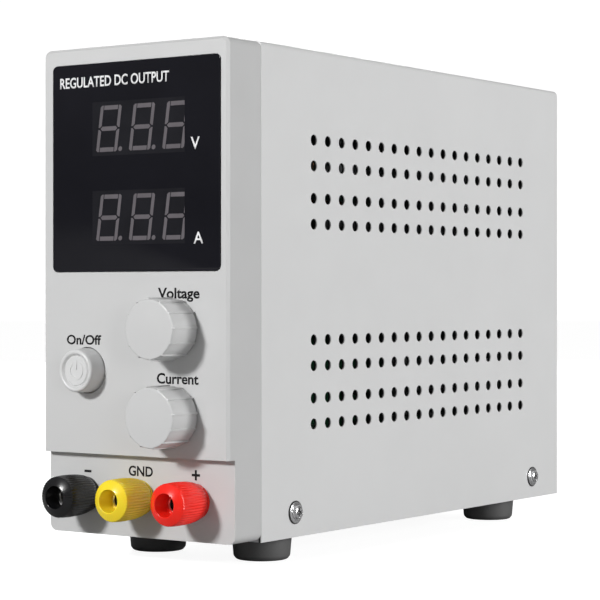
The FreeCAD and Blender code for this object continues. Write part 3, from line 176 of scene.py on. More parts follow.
PAINT = dict(grain=1100.0, grain_depth=0.012, rough_spread=0.04)
MOULDED = dict(grain=2600.0, grain_depth=0.010, rough_spread=0.05)
GLOSSY = dict(grain=1400.0, grain_depth=0.004, rough_spread=0.04)
METAL = dict(metallic=1.0, grain=1800.0, rough_spread=0.05)
FINISHES = {
    # The cover's paint gets a near-black painted shade under its skin, so the vent holes look dark.
    "cover_paint": finish("cover_paint", (0.715, 0.718, 0.718), 0.34, 0.012,
                          painted_shade=(0.02, 0.02, 0.02), **PAINT),
    "sheet_steel": finish("sheet_steel", (0.58, 0.59, 0.60), 0.36, 0.08, grain_stretch=(1, 0.05, 1), **METAL),
    "panel_paint": finish("panel_paint", (0.70, 0.703, 0.703), 0.42, 0.012, **PAINT),
    "bezel_plastic": finish("bezel_plastic", (0.56, 0.562, 0.562), 0.35, 0.012, **MOULDED),
    "lens_acrylic": finish("lens_acrylic", (0.009, 0.009, 0.012), 0.045, 0.10, grain=300.0,
                           grain_depth=0.0003, rough_spread=0.012, specular_ior_level=0.2),
    "knob_plastic": finish("knob_plastic", (0.56, 0.562, 0.562), 0.35, 0.012, **MOULDED),
    "button_plastic": finish("button_plastic", (0.63, 0.632, 0.632), 0.35, 0.012, **MOULDED),
    "post_black": finish("post_black", (0.007, 0.007, 0.008), 0.21, 0.10, **GLOSSY),
    "post_yellow": finish("post_yellow", (0.95, 0.72, 0.03), 0.21, 0.03, subsurface_weight=0.12,
                          subsurface_scale=0.002, **GLOSSY),
    "post_red": finish("post_red", (0.93, 0.020, 0.010), 0.21, 0.03, subsurface_weight=0.12,
                       subsurface_scale=0.002, **GLOSSY),
    "plated_brass": finish("plated_brass", (0.74, 0.72, 0.68), 0.20, 0.04, grain_depth=0.004, **METAL),
    "chrome_screw": finish("chrome_screw", (0.86, 0.86, 0.87), 0.21, 0.03, grain_depth=0.002, **METAL),
    "zinc_screw": finish("zinc_screw", (0.64, 0.64, 0.62), 0.34, 0.06, grain_depth=0.006, **METAL),
    "foot_rubber": finish("foot_rubber", (0.11, 0.11, 0.11), 0.55, 0.15, grain=2200.0, grain_depth=0.02),
    "circuit_board": finish("circuit_board", (0.015, 0.12, 0.05), 0.35, 0.35, mottle_scale=260.0,
                            grain=700.0, grain_depth=0.03),
    "display_module": finish("display_module", (0.05, 0.05, 0.055), 0.30, 0.08),
    "component_black": finish("component_black", (0.03, 0.03, 0.032), 0.50, 0.12, **MOULDED),
    "ferrite": finish("ferrite", (0.06, 0.06, 0.062), 0.55, 0.20, grain=1800.0, grain_depth=0.03),
    "winding_wire": finish("winding_wire", (0.62, 0.26, 0.09), 0.30, 0.15, grain_stretch=(1, 1, 6), **METAL),
    "capacitor_sleeve": finish("capacitor_sleeve", (0.02, 0.03, 0.09), 0.28, 0.08),
    "heatsink_metal": finish("heatsink_metal", (0.72, 0.73, 0.75), 0.38, 0.06,
                             grain_stretch=(1, 1, 0.05), **METAL),
    "fuse_glass": finish("fuse_glass", (0.80, 0.86, 0.88), 0.10, 0.02, grain_depth=0.001, rough_spread=0.03),
    "lead_insulation": finish("lead_insulation", (0.02, 0.02, 0.02), 0.45, 0.10, grain_depth=0.01),
    "ribbon_insulation": finish("ribbon_insulation", (0.42, 0.42, 0.44), 0.50, 0.06, grain_stretch=(1, 8, 1),
                                grain_depth=0.03),
    "fan_plastic": finish("fan_plastic", (0.018, 0.018, 0.019), 0.42, 0.10, **MOULDED),
    "inlet_plastic": finish("inlet_plastic", (0.018, 0.018, 0.018), 0.38, 0.10, **MOULDED),
    "selector_red": finish("selector_red", (0.68, 0.03, 0.02), 0.35, 0.05, **MOULDED),
}
# Dark grey metal for painted shade in the cover screws' cross recesses and a painted dark reflection on their
# washers' rims.
SCREW_SHADE = finish("screw_shade", (0.10, 0.10, 0.10), 0.35, 0.20, grain_depth=0.004, **METAL)
DARK_INK = finish("dark_ink", (0.006, 0.006, 0.007), 0.50, 0.10, grain_depth=0.004, specular_ior_level=0.2)
LIGHT_INK = finish("light_ink", (0.80, 0.80, 0.81), 0.45, 0.03, grain_depth=0.004)
DISPLAY_FACE = finish("display_face", (0.0145, 0.0145, 0.0175), 0.045, 0.12, mottle_scale=120.0,
                      grain=300.0, grain_depth=0.0003, rough_spread=0.012, specular_ior_level=0.2)
UNLIT_SEGMENT = finish("unlit_segment", (0.125, 0.115, 0.125), 0.045, 0.06, mottle_scale=200.0,
                       grain=300.0, grain_depth=0.0003, rough_spread=0.012, specular_ior_level=0.2)

for row in frame["record"]["subparts"]:
    for material_slot in frame["nodes"][row["node"]].material_slots:
        material_slot.material = FINISHES[row["material_slot"]]


# ---------------------------------------------------------------- building pieces

class Shape:
    """Points in the case frame, in millimetres, and the faces between them."""

    def __init__(self):
        self.points = []
        self.faces = []

    def add(self, points, faces):
        start = len(self.points)
        self.points += points
        self.faces += [tuple(start + i for i in face) for face in faces]
        return self


def attach(thing, body, slot, material, replaced=()):
    thing.data.materials.clear()
    thing.data.materials.append(material or FINISHES[slot])
    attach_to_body(thing, body)
    if replaced:
        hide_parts(*replaced)
    return thing


def piece(name, shape, body, slot, material=None, replaced=(), crease=32.0, bevel=None):
    """A mesh object made from a shape, smooth but for edges sharper than crease degrees."""
    mesh = bpy.data.meshes.new(name)
    mesh.from_pydata([at(*p) for p in shape.points], [], shape.faces)
    form = bmesh.new()
    form.from_mesh(mesh)
    if bevel:
        bmesh.ops.bevel(form, geom=form.edges[:], offset=bevel * MM, segments=3, profile=0.5,
                        affect="EDGES", clamp_overlap=True)
    bmesh.ops.recalc_face_normals(form, faces=form.faces[:])
    form.to_mesh(mesh)
    form.free()
    mesh.shade_smooth()
    mesh.set_sharp_from_angle(angle=math.radians(crease))
    thing = bpy.data.objects.new(name, mesh)
    bpy.context.scene.collection.objects.link(thing)
    return attach(thing, body, slot, material, replaced)


def rounded(corners, steps=4):
    """A profile of (radius, along) from corners of (radius, along, rounding)."""
    out = []
    for i, (radius, along, bend) in enumerate(corners):
        here = Vector((radius, along))
        if not bend:
            out.append((radius, along))
            continue
        before = Vector(corners[i - 1][:2])
        after = Vector(corners[(i + 1) % len(corners)][:2])
        start = here + (before - here).normalized() * bend
        end = here + (after - here).normalized() * bend
        for s in range(steps + 1):
            t = s / steps
            out.append(tuple(start.lerp(here, t).lerp(here.lerp(end, t), t)))
    return out


def lathe(profile, angles, put, swell=None, closed=False):
    """Rings turned about an axis. put gives the point at (radius, angle, along)."""
    points, rings = [], []
    for radius, along in profile:
        start = len(points)
        if radius:
            for angle in angles:
                grown = radius + (swell(angle, radius, along) if swell else 0)
                points.append(put(grown, angle, along))
        else:
            points.append(put(0, 0, along))
        rings.append(range(start, len(points)))
    faces = []
    for a, b in zip(rings, rings[1:] + (rings[:1] if closed else [])):
        for s in range(len(angles)):
            t = (s + 1) % len(angles)
            if len(a) == 1:
                faces.append((a[0], b[s], b[t]))
            elif len(b) == 1:
                faces.append((a[s], b[0], a[t]))
            else:
                faces.append((a[s], b[s], b[t], a[t]))
    return points, faces


def even_angles(steps, phase=0.0):
    return [phase + 2 * math.pi * s / steps for s in range(steps)]


def about_y(x, y, z):
    """Puts a turned point on an axis along Y through (x, z), with along counted from y."""
    return lambda radius, angle, along: (
        x + radius * math.cos(angle), y + along, z + radius * math.sin(angle)
    )


def behind_y(x, y, z):
    """The same as about_y, but with along counted forwards from y."""
    return lambda radius, angle, along: (
        x + radius * math.cos(angle), y - along, z + radius * math.sin(angle)
    )


def about_x(x, y, z, side):
    """Puts a turned point on an axis along X, with along counted from x towards the case's middle."""
    return lambda radius, angle, along: (
        x - side * along, y + radius * math.cos(angle), z + radius * math.sin(angle)
    )


def about_z(x, y, z):
    """Puts a turned point on an axis along Z through (x, y), with along counted from z."""
    return lambda radius, angle, along: (
        x + radius * math.cos(angle), y + radius * math.sin(angle), z + along
    )


def smooth_step(low, high, value):
    t = min(1.0, max(0.0, (value - low) / (high - low)))
    return t * t * (3 - 2 * t)


def prism(outline, front, back):
    """A flat outline of (x, z) made solid between two depths."""
    count = len(outline)
    points = [(x, front, z) for x, z in outline] + [(x, back, z) for x, z in outline]
    faces = [tuple(range(count)), tuple(range(2 * count - 1, count - 1, -1))]
    faces += [(i, i + count, (i + 1) % count + count, (i + 1) % count) for i in range(count)]
    return points, faces


# ---------------------------------------------------------------- knobs

KNOB_RIBS, RIB_HEIGHT = 12, 0.38
KNOB_PHASES = {"voltage_knob": math.radians(3), "current_knob": math.radians(8)}
RIB_OFFSETS = (-15, -11, -7, -4, -3, -2.4, -2.1, -1.8, -1.5, -0.7, 0, 0.7, 1.5, 1.8, 2.1, 2.4, 3, 4, 7, 11)


def knob_swell(phase):
    """Thin ribs along a knob's side, which fade in behind the face's edge."""
    pitch = 2 * math.pi / KNOB_RIBS

    def swell(angle, radius, along):
        if radius < 8.2:
            return 0.0
        width = abs((angle - phase + pitch / 2) % pitch - pitch / 2) * radius
        height = RIB_HEIGHT * smooth_step(-12.1, -11.7, along)
        return height * (1 - smooth_step(0.24, 0.34, width)) * smooth_step(8.2, 8.7, radius)

    return swell


def make_knob(name):
    middle = centre_of(name)
    dome = [(7.5 * s / 6, -12.35 + 0.30 * (s / 6) ** 2) for s in range(7)]
    side = rounded([
        (8.0, -12.03, 0), (8.86, -11.98, 0.35), (8.93, -11.3, 0), (8.96, -10.6, 0), (8.98, -9.0, 0),
        (9.0, -6.0, 0), (9.02, -3.0, 0), (9.05, -0.5, 0.2), (7.1, -0.5, 0.15), (7.1, -4.6, 0),
        (3.06, -4.6, 0), (3.06, -11.1, 0), (0, -11.1, 0),
    ])
    angles = [
        KNOB_PHASES[name] + 2 * math.pi * rib / KNOB_RIBS + math.radians(offset)
        for rib in range(KNOB_RIBS)
        for offset in RIB_OFFSETS
    ]
    shape = Shape().add(*lathe(dome + side, angles, about_y(middle.x, 0, middle.z),
                              knob_swell(KNOB_PHASES[name])))
    piece(f"{name}_moulding", shape, name, "knob_plastic", replaced=[name])


for knob in KNOB_PHASES:
    make_knob(knob)


# ---------------------------------------------------------------- push button

RING_RADIUS, RING_GAP, RING_STEPS = 2.5, math.radians(33), 40
MARK_LOW, MARK_HIGH = -4.95, -5.50


def make_button():
    """The push button with its dished face, and the raised power mark on it."""
    middle = centre_of("power_button")
    put = about_y(middle.x, 0, middle.z)
    profile = [(4.3 * s / 4, -5.30 - 0.10 * (s / 4) ** 2) for s in range(5)]
    profile += rounded([
        (4.9, -5.46, 0.5), (5.3, -5.93, 0.35), (5.85, -6.0, 0.3), (6.42, -5.72, 0.45), (6.58, -4.9, 0.4),
        (6.83, -0.2, 0), (6.85, 3.3, 0), (8.0, 3.3, 0.15), (8.0, 4.5, 0.15), (4.6, 4.5, 0.1),
        (4.6, 7.0, 0.15), (2.95, 7.0, 0.1), (2.95, 2.0, 0), (0, 2.0, 0),
    ])
    shape = Shape().add(*lathe(profile, even_angles(96), put))
    start, end = math.pi / 2 + RING_GAP, math.pi / 2 + 2 * math.pi - RING_GAP
    section = [(-0.55, MARK_LOW), (-0.35, MARK_HIGH), (0.35, MARK_HIGH), (0.55, MARK_LOW)]
    points, faces = [], []
    for s in range(RING_STEPS + 1):
        angle = start + (end - start) * s / RING_STEPS
        points += [put(RING_RADIUS + off, angle, along) for off, along in section]
    for s in range(RING_STEPS):
        for k in range(4):
            a, b = 4 * s + k, 4 * s + (k + 1) % 4
            faces.append((a, b, b + 4, a + 4))
    faces += [(3, 2, 1, 0), tuple(4 * RING_STEPS + k for k in range(4))]
    shape.add(points, faces)
    x, z = middle.x, middle.z
    bar = [(x - 0.36, z + 0.4), (x + 0.36, z + 0.4), (x + 0.36, z + 3.3), (x - 0.36, z + 3.3)]
    shape.add(*prism(bar, MARK_HIGH, MARK_LOW))
    piece("power_button_moulding", shape, "power_button", "button_plastic", replaced=["power_button"])


make_button()


SPRING_TURNS, SPRING_WIRE = 7, 0.25


def make_spring():
    """The button's return spring, a wire coil wound between the ends of the CAD spring and fixed to the case.
    """
    low, high = span("switch_spring")
    middle = centre_of("switch_spring")
    steps, sides = 28, 10
    coil, rise = (high.x - low.x) / 2 - SPRING_WIRE, high.y - low.y - 2 * SPRING_WIRE
    count = SPRING_TURNS * steps
    points, faces = [], []
    for s in range(count + 1):
        turn = 2 * math.pi * s / steps
        for k in range(sides):
            angle = 2 * math.pi * k / sides
            radius = coil + SPRING_WIRE * math.cos(angle)
            along = low.y + SPRING_WIRE + rise * s / count + SPRING_WIRE * math.sin(angle)
            points.append((middle.x + radius * math.cos(turn), along, middle.z + radius * math.sin(turn)))
    for s in range(count):
        for k in range(sides):
            a, b = sides * s + k, sides * s + (k + 1) % sides
            faces.append((a, b, b + sides, a + sides))
    faces += [tuple(range(sides)), tuple(range(count * sides + sides - 1, count * sides - 1, -1))]
    spring = piece("switch_spring_coil", Shape().add(points, faces), "root", "zinc_screw",
                   replaced=["switch_spring"])
    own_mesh(spring)


make_spring()


# ---------------------------------------------------------------- binding posts

PANEL, STEP = 0.0, 3.2
CAP_LENGTH = 15.0
POST_GROOVES, GROOVE_STEPS, GROOVE_DEPTH = 44, 8, 0.26
POST_COLOURS = {"negative": "post_black", "ground": "post_yellow", "positive": "post_red"}


def cap_swell(angle, radius, along):
    """Grip grooves round a cap, shallower on its nose and gone before its rear edge."""
    if radius < 5.2:
        return 0.0
    nose = 0.4 * smooth_step(-14.1, -13.6, along) + 0.6 * smooth_step(-12.4, -11.2, along)
    reach = nose * (1 - smooth_step(-2.4, -1.4, along))
    wave = 0.5 - 0.5 * math.cos(POST_GROOVES * angle)
    return -GROOVE_DEPTH * reach * wave ** 1.5


def make_cap(name):
    """A post's turning cap: a conical nose, a grooved grip and a wide mouth at the back."""
    node = f"{name}_post_cap"
    middle = centre_of(node)
    panel = span(node)[0].y + CAP_LENGTH
    corners = [
        (3.5, -14.9, 0.06), (3.66, -15.0, 0.08), (6.22, -13.62, 0.18), (6.34, -13.0, 0), (6.40, -12.0, 0),
        (6.45, -10.5, 0), (6.45, -8.5, 0), (6.42, -7.0, 0), (6.36, -5.6, 0), (6.27, -4.4, 0),
        (6.14, -3.3, 0), (5.98, -2.4, 0), (5.78, -1.7, 0), (5.5, -1.2, 0.15), (4.6, -1.2, 0.1),
        (4.6, -4.6, 0), (2.68, -4.6, 0), (2.68, -9.6, 0.1), (3.32, -9.6, 0.15),
    ]
    shape = Shape().add(*lathe(
        rounded(corners), even_angles(POST_GROOVES * GROOVE_STEPS), about_y(middle.x, panel, middle.z),
        cap_swell, closed=True,
    ))
    piece(f"{name}_cap_moulding", shape, f"{name}_cap", POST_COLOURS[name], replaced=[node])


def make_collar(name):
    """The fixed foot of a post, a low ring between the cap and the panel."""
    node = f"{name}_post_collar"
    low, high = span(node)
    middle = centre_of(node)
    corners = [
        (2.64, low.y, 0), (5.5, low.y, 0.12), (5.4, STEP, 0.05), (3.9, STEP, 0), (3.9, high.y, 0.1),
        (2.64, high.y, 0),
    ]
    put = about_y(middle.x, 0, middle.z)
    shape = Shape().add(*lathe(rounded(corners), even_angles(96), put, closed=True))
    piece(f"{name}_collar_moulding", shape, "root", POST_COLOURS[name], replaced=[node])


for post in POST_COLOURS:
    make_cap(post)
    make_collar(post)


# ---------------------------------------------------------------- screws

def cross_recess(arm, half, depth):
    """How far a point of a screw's top sinks into its cross recess."""
    def sink(radius, angle):
        u, v = abs(radius * math.cos(angle)), abs(radius * math.sin(angle))
        outside = min(max(u - arm, v - half), max(v - arm, u - half))
        return depth * (1 - 0.35 * radius / arm) * (1 - smooth_step(-0.18, 0.05, outside))
    return sink


def screw(head, height, shank, length, flange=None):
    """A pan-head screw along its own axis: rings of points that about_x or about_y puts in place."""
    top = -height
    crown = [(head * 0.7 * s / 18, top) for s in range(19)]
    skirt = [(head * 0.86, top * 0.94, 0.12), (head * 0.98, top * 0.70, 0.15)]
    if flange:
        skirt += [(head, top * 0.36, 0.12), (flange - 0.45, top * 0.34, 0.2),
                  (flange - 0.05, top * 0.18, 0.12)]
    edge = flange or head
    body = rounded(skirt + [(edge, 0, 0.08), (shank, 0, 0), (shank, length - 0.4, 0),
                            (shank - 0.4, length, 0), (0, length, 0)])
    sink = cross_recess(head * 0.62, head * 0.20, height * 0.7)

    def shaped(put):
        return lambda radius, angle, along: put(
            radius, angle, along + (sink(radius, angle) if along < top * 0.85 else 0)
        )

    return crown + body, shaped


def split_off(thing, name, painted_dark, slot, material):
    """Moves the faces of a fixed piece whose every point is painted dark to a piece of their own."""
    whole = bmesh.new()
    whole.from_mesh(thing.data)
    picked = {face.index for face in whole.faces if all(painted_dark((v.co - ORIGIN) / MM) for v in face.verts)}
    part = thing.data.copy()
    part.name = name
    for mesh, wanted in ((part, True), (thing.data, False)):
        form = whole.copy()
        dropped = [face for face in form.faces if (face.index in picked) != wanted]
        bmesh.ops.delete(form, geom=dropped, context="FACES")
        form.to_mesh(mesh)
        form.free()
    whole.free()
    other = bpy.data.objects.new(name, part)
    bpy.context.scene.collection.objects.link(other)
    attach(other, "root", slot, material)


SCREW_ANGLES = 120


def make_cover_screws():
    """Two chrome screws in each side of the cover, each with a washer formed under its head."""
    low, high = span("cover_screws")
    head, height, flange, wall = 2.25, 1.7, 3.6, 36.0
    shape = Shape()
    profile, shaped = screw(head, height, 1.75, 6.0, flange)
    z = (low.z + high.z) / 2
    rows = (low.y + flange, high.y - flange)
    for y in rows:
        for side in (-1, 1):
            shape.add(*lathe(profile, even_angles(SCREW_ANGLES), shaped(about_x(wall * side, y, z, side))))

    def painted_dark(point):
        """True where the screws are painted dark: painted shade in the cross recess and a painted dark
        reflection on the washer face's outer rim.
        """
        out = abs(point.x) - wall
        radius = min(math.hypot(point.y - y, point.z - z) for y in rows)
        sunk = radius < head * 0.68 and height * 0.2 < out < height * 0.88
        return sunk or radius > flange - 0.35 and 0 < out < height * 0.32

    turned = piece("cover_screws_turned", shape, "root", "chrome_screw", replaced=["cover_screws"],
                   crease=50.0)
    # The recesses and the washers' outer rims go to a dark grey piece: painted shade and a painted dark
    # reflection.
    split_off(turned, "cover_screws_painted_shade", painted_dark, "chrome_screw", SCREW_SHADE)


def make_fan_screws():
    """The fan's four screws, whose heads sit on the rear panel."""
    low, high = span("fan_screws")
    head = 3.2
    shape = Shape()
    profile, shaped = screw(head, 2.2, 1.7, 14.0)
    for x in (low.x + head, high.x - head):
        for z in (low.z + head, high.z - head):
            shape.add(*lathe(profile, even_angles(SCREW_ANGLES), shaped(behind_y(x, high.y - 2.2, z))))
    piece("fan_screws_turned", shape, "root", "zinc_screw", replaced=["fan_screws"], crease=50.0)


make_cover_screws()
make_fan_screws()


# ---------------------------------------------------------------- feet

def make_feet():
    """Four tapered rubber feet, each hollow below round its screw."""
    low, high = span("rubber_feet")
    radius = 9.4
    profile = rounded([
        (1.8, 0, 0), (radius, 0, 0.25), (9.25, -2.2, 0.2), (8.85, -6.9, 0.5), (7.95, -8.0, 0.6),
        (4.4, -8.0, 0.3), (4.2, -3.0, 0), (1.8, -3.0, 0),
    ])
    shape = Shape()
    for x in (low.x + radius, high.x - radius):
        for y in (low.y + radius, high.y - radius):
            shape.add(*lathe(profile, even_angles(72), about_z(x, y, high.z), closed=True))
    piece("rubber_feet_moulding", shape, "root", "foot_rubber", replaced=["rubber_feet"])


make_feet()


# ---------------------------------------------------------------- display lens, digits and windows

LENS_LOW, LENS_HIGH = span("display_lens")
LENS_FACE = LENS_LOW.y
LENS_CORNER = 1.8
INK = 0.03  # how far printing stands off its face


def make_lens():
    """The dark window with rounded corners."""
    corners = [(LENS_LOW.x, LENS_LOW.z, LENS_CORNER), (LENS_HIGH.x, LENS_LOW.z, LENS_CORNER),
               (LENS_HIGH.x, LENS_HIGH.z, LENS_CORNER), (LENS_LOW.x, LENS_HIGH.z, LENS_CORNER)]
    shape = Shape().add(*prism(rounded(corners, 8), LENS_FACE, LENS_HIGH.y))
    piece("display_lens_acrylic", shape, "root", "lens_acrylic", replaced=["display_lens"], bevel=0.2)


WINDOW_LEFT, WINDOW_RIGHT, WINDOW_EDGE = -15.75, 19.95, 1.2
DIGIT_LEFTS = (-12.35, 0.55, 13.4)
DIGIT_HEIGHT, DIGIT_WIDTH = 14.05, 8.25
SLANT = math.tan(math.radians(8.0))
DIGIT_BASES = (117.6, 90.5)
UPRIGHT, LEVEL, SPLIT, DOT = 1.15, 1.3, 0.28, 0.72


def segments():
    """The seven strokes of a numeral and its point, as outlines from its lower left corner."""
    w, h, t, v, g = DIGIT_WIDTH, DIGIT_HEIGHT, UPRIGHT, LEVEL, SPLIT
    middle, tip = h / 2, t / 2
    upper_left = [(0, middle + g), (tip, middle + g * 1.2), (t, middle + v / 2 + g), (t, h), (0.55, h),
                  (0, h - 0.5)]
    left_pair = [upper_left, [(x, h - z) for x, z in upper_left]]
    right_pair = [[(w - x, z) for x, z in outline] for outline in left_pair]
    bottom = [(t + g, 0), (w - t - g, 0), (w - t - g, v), (t + g, v)]
    top = [(x, h - z) for x, z in bottom]
    centre = [(tip + g, middle), (t + g * 1.3, middle + v / 2), (w - t - g * 1.3, middle + v / 2),
              (w - tip - g, middle), (w - t - g * 1.3, middle - v / 2), (t + g * 1.3, middle - v / 2)]
    dot = [(w + 1.2 + DOT * math.cos(a), DOT + DOT * math.sin(a)) for a in even_angles(20)]
    return left_pair + right_pair + [bottom, top, centre], dot


def trimmed(outline, limit):
    """The part of an outline that lies left of a limit."""
    kept = []
    for (x0, z0), (x1, z1) in zip(outline, outline[1:] + outline[:1]):
        if x0 <= limit:
            kept.append((x0, z0))
        if (x0 <= limit) != (x1 <= limit):
            t = (limit - x0) / (x1 - x0)
            kept.append((limit, z0 + t * (z1 - z0)))
    return kept


def make_displays():
    """Two display windows and the unlit strokes of their numerals."""
    windows, strokes = Shape(), Shape()
    numeral, dot = segments()
    for base in DIGIT_BASES:
        low, high = base - WINDOW_EDGE, base + DIGIT_HEIGHT + WINDOW_EDGE
        window = [(WINDOW_LEFT, low), (WINDOW_RIGHT, low), (WINDOW_RIGHT, high), (WINDOW_LEFT, high)]
        windows.add(*prism(window, LENS_FACE - INK / 2, LENS_FACE + INK))
        for i, left in enumerate(DIGIT_LEFTS):
            for outline in numeral + ([dot] if i < 2 else []):
                leant = [(left + x + (z - DIGIT_HEIGHT) * SLANT, base + z) for x, z in outline]
                leant = trimmed(leant, WINDOW_RIGHT - 0.05)
                if len(leant) > 2:
                    strokes.add(*prism(leant, LENS_FACE - INK, LENS_FACE + INK))
    piece("display_windows", windows, "root", "display_module", DISPLAY_FACE)
    piece("display_segments", strokes, "root", "display_module", UNLIT_SEGMENT)


make_lens()
make_displays()


# ---------------------------------------------------------------- printing

def lettering(name, words, left, base, height, width, face, ink, slot, weight=0.0):
    """Flat printed words: left edge, base line, capital height and width, on a face at a depth."""
    curve = bpy.data.curves.new(name + "_outline", "FONT")
    curve.body = words
    curve.offset = weight
    curve.resolution_u = 4
    words_object = bpy.data.objects.new(name + "_outline", curve)
    bpy.context.scene.collection.objects.link(words_object)
    bpy.context.view_layer.update()
    flat = bpy.data.meshes.new_from_object(words_object.evaluated_get(bpy.context.evaluated_depsgraph_get()))
    bpy.data.objects.remove(words_object)
    form = bmesh.new()
    form.from_mesh(flat)
    bpy.data.meshes.remove(flat)
    bmesh.ops.remove_doubles(form, verts=form.verts[:], dist=1e-5)
    xs = [v.co.x for v in form.verts]
    top = max(v.co.y for v in form.verts)
    grown = bmesh.ops.extrude_face_region(form, geom=form.faces[:])
    raised = {v for v in grown["geom"] if isinstance(v, bmesh.types.BMVert)}
    for v in form.verts:
        across = (v.co.x - min(xs)) / (max(xs) - min(xs))
        depth = face - (INK if v in raised else -INK)
        v.co = at(left + across * width, depth, base + v.co.y / top * height)
    bmesh.ops.recalc_face_normals(form, faces=form.faces[:])
    mesh = bpy.data.meshes.new(name)
    form.to_mesh(mesh)
    form.free()
    thing = bpy.data.objects.new(name, mesh)
    bpy.context.scene.collection.objects.link(thing)
    attach(thing, "root", slot, ink)


def make_polarity_marks():
    """A minus over the black post and a plus over the red one."""
    arm, half, x, z = 1.55, 0.38, 21.4, 20.4
    minus = [(-22.0, 19.25), (-19.2, 19.25), (-19.2, 20.0), (-22.0, 20.0)]
    plus = [
        (x - arm, z - half), (x - half, z - half), (x - half, z - arm), (x + half, z - arm),
        (x + half, z - half), (x + arm, z - half), (x + arm, z + half), (x + half, z + half),
        (x + half, z + arm), (x - half, z + arm), (x - half, z + half), (x - arm, z + half),
    ]
    marks = Shape()
    for outline in (minus, plus):
        marks.add(*prism(outline, STEP - INK, STEP + INK))
    piece("polarity_print", marks, "root", "bezel_plastic", DARK_INK)


LENS_PRINTS = (
    ("heading_print", "REGULATED DC OUTPUT", -28.8, 137.7, 3.2, 42.8, 0.018),
    ("volt_print", "V", 22.2, 117.1, 3.6, 3.3, 0.01),
    ("ampere_print", "A", 23.25, 89.2, 3.5, 3.6, 0.01),
)
PANEL_PRINTS = (
    ("on_off_print", "On/Off", -26.35, 58.85, 2.9, 13.8, PANEL),
    ("voltage_print", "Voltage", 9.55, 73.05, 3.1, 15.7, PANEL),
    ("current_print", "Current", 9.15, 47.6, 3.1, 15.7, PANEL),
    ("ground_print", "GND", -4.35, 19.15, 3.0, 9.4, STEP),
)
PANEL_WEIGHT = 0.024

for *print_values, weight in LENS_PRINTS:
    lettering(*print_values, LENS_FACE, LIGHT_INK, "lens_acrylic", weight)
for print_values in PANEL_PRINTS:
    lettering(*print_values, DARK_INK, "bezel_plastic", PANEL_WEIGHT)
make_polarity_marks()


# ---------------------------------------------------------------- studio

CAMERA_PLACE = (0.3968, -0.581325, 0.082)
CAMERA_AZIMUTH, CAMERA_PITCH, CAMERA_LENS = 34.71, -0.14, 124.09
LIGHTS = (
    ("key", (-0.155, -0.84, 0.385), (0, -0.08, 0.08), 0.12, 5.9),
    ("kicker", (1.25, -0.95, 0.28), (0, -0.05, 0.08), 0.35, 2.5),
    ("side", (1.25, 0.40, 0.30), (0, 0, 0.08), 0.4, 11),
    ("top", (0.1, 0.1, 1.6), (0, 0, 0.08), 1.2, 1.5),
    ("back", (-1.1, 1.35, 0.5), (0, 0.05, 0.08), 0.8, 16),
)


def softbox(name, place, target, size, power):
    """A round area light at a place, turned towards a target."""
    light = bpy.data.lights.new(name, "AREA")
    light.shape = "DISK"
    light.size = size
    light.energy = power
    lamp = bpy.data.objects.new(name, light)
    lamp.location = place
    lamp.rotation_euler = (Vector(target) - Vector(place)).to_track_quat("-Z", "Y").to_euler()
    bpy.context.scene.collection.objects.link(lamp)


def make_floor():
    """Pale paper that looks white to the camera."""
    mesh = bpy.data.meshes.new("floor")
    form = bmesh.new()
    bmesh.ops.create_circle(form, cap_ends=True, segments=96, radius=6.0)
    form.to_mesh(mesh)
    form.free()
    material = bpy.data.materials.new("floor_paper")
    material.use_nodes = True
    shader = material.node_tree.nodes["Principled BSDF"]
    shader.inputs["Base Color"].default_value = (0.3, 0.3, 0.3, 1)
    shader.inputs["Roughness"].default_value = 0.9
    shader.inputs["Specular IOR Level"].default_value = 0.1
    shader.inputs["Emission Color"].default_value = (1, 1, 1, 1)
    path = material.node_tree.nodes.new("ShaderNodeLightPath")
    glow = material.node_tree.nodes.new("ShaderNodeMath")
    glow.operation = "MULTIPLY"
    glow.inputs[1].default_value = 0.92
    material.node_tree.links.new(path.outputs["Is Camera Ray"], glow.inputs[0])
    material.node_tree.links.new(glow.outputs["Value"], shader.inputs["Emission Strength"])
    mesh.materials.append(material)
    floor = bpy.data.objects.new("floor", mesh)
    bpy.context.scene.collection.objects.link(floor)


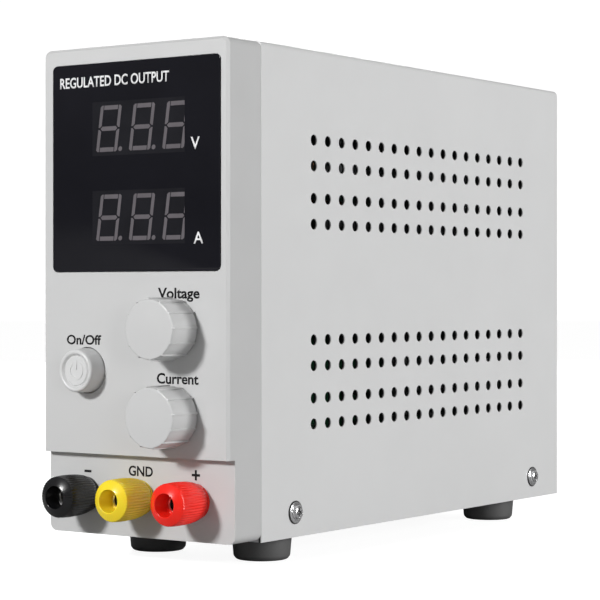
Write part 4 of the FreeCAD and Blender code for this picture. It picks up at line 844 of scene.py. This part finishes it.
def make_world():
    """White to the camera, and to everything else a soft light that grows towards the zenith."""
    world = bpy.data.worlds.new("studio")
    bpy.context.scene.world = world
    world.use_nodes = True
    nodes, links = world.node_tree.nodes, world.node_tree.links
    nodes.clear()
    seen, lit = nodes.new("ShaderNodeBackground"), nodes.new("ShaderNodeBackground")
    seen.inputs["Strength"].default_value = 1.05
    seen.inputs["Color"].default_value = (1, 1, 1, 1)
    lit.inputs["Color"].default_value = (1, 1, 1, 1)
    heading = nodes.new("ShaderNodeSeparateXYZ")
    links.new(nodes.new("ShaderNodeTexCoord").outputs["Generated"], heading.inputs["Vector"])
    climb = nodes.new("ShaderNodeMapRange")
    climb.inputs["From Min"].default_value = 0.0
    climb.inputs["From Max"].default_value = 0.7
    climb.inputs["To Min"].default_value = 0.06
    climb.inputs["To Max"].default_value = 0.24
    links.new(heading.outputs["Z"], climb.inputs["Value"])
    links.new(climb.outputs["Result"], lit.inputs["Strength"])
    mix, path = nodes.new("ShaderNodeMixShader"), nodes.new("ShaderNodeLightPath")
    output = nodes.new("ShaderNodeOutputWorld")
    links.new(path.outputs["Is Camera Ray"], mix.inputs["Fac"])
    links.new(lit.outputs["Background"], mix.inputs[1])
    links.new(seen.outputs["Background"], mix.inputs[2])
    links.new(mix.outputs["Shader"], output.inputs["Surface"])


def make_camera():
    azimuth, pitch = math.radians(CAMERA_AZIMUTH), math.radians(CAMERA_PITCH)
    camera = bpy.data.objects.new("camera", bpy.data.cameras.new("camera"))
    camera.data.lens = CAMERA_LENS
    camera.data.sensor_width = 36.0
    camera.location = CAMERA_PLACE
    level = math.cos(pitch)
    toward = Vector((-math.sin(azimuth) * level, math.cos(azimuth) * level, math.sin(pitch)))
    camera.rotation_euler = toward.to_track_quat("-Z", "Y").to_euler()
    bpy.context.scene.collection.objects.link(camera)
    bpy.context.scene.camera = camera


make_floor()
make_world()
make_camera()
for light_values in LIGHTS:
    softbox(*light_values)
bpy.context.scene.view_settings.view_transform = "Standard"
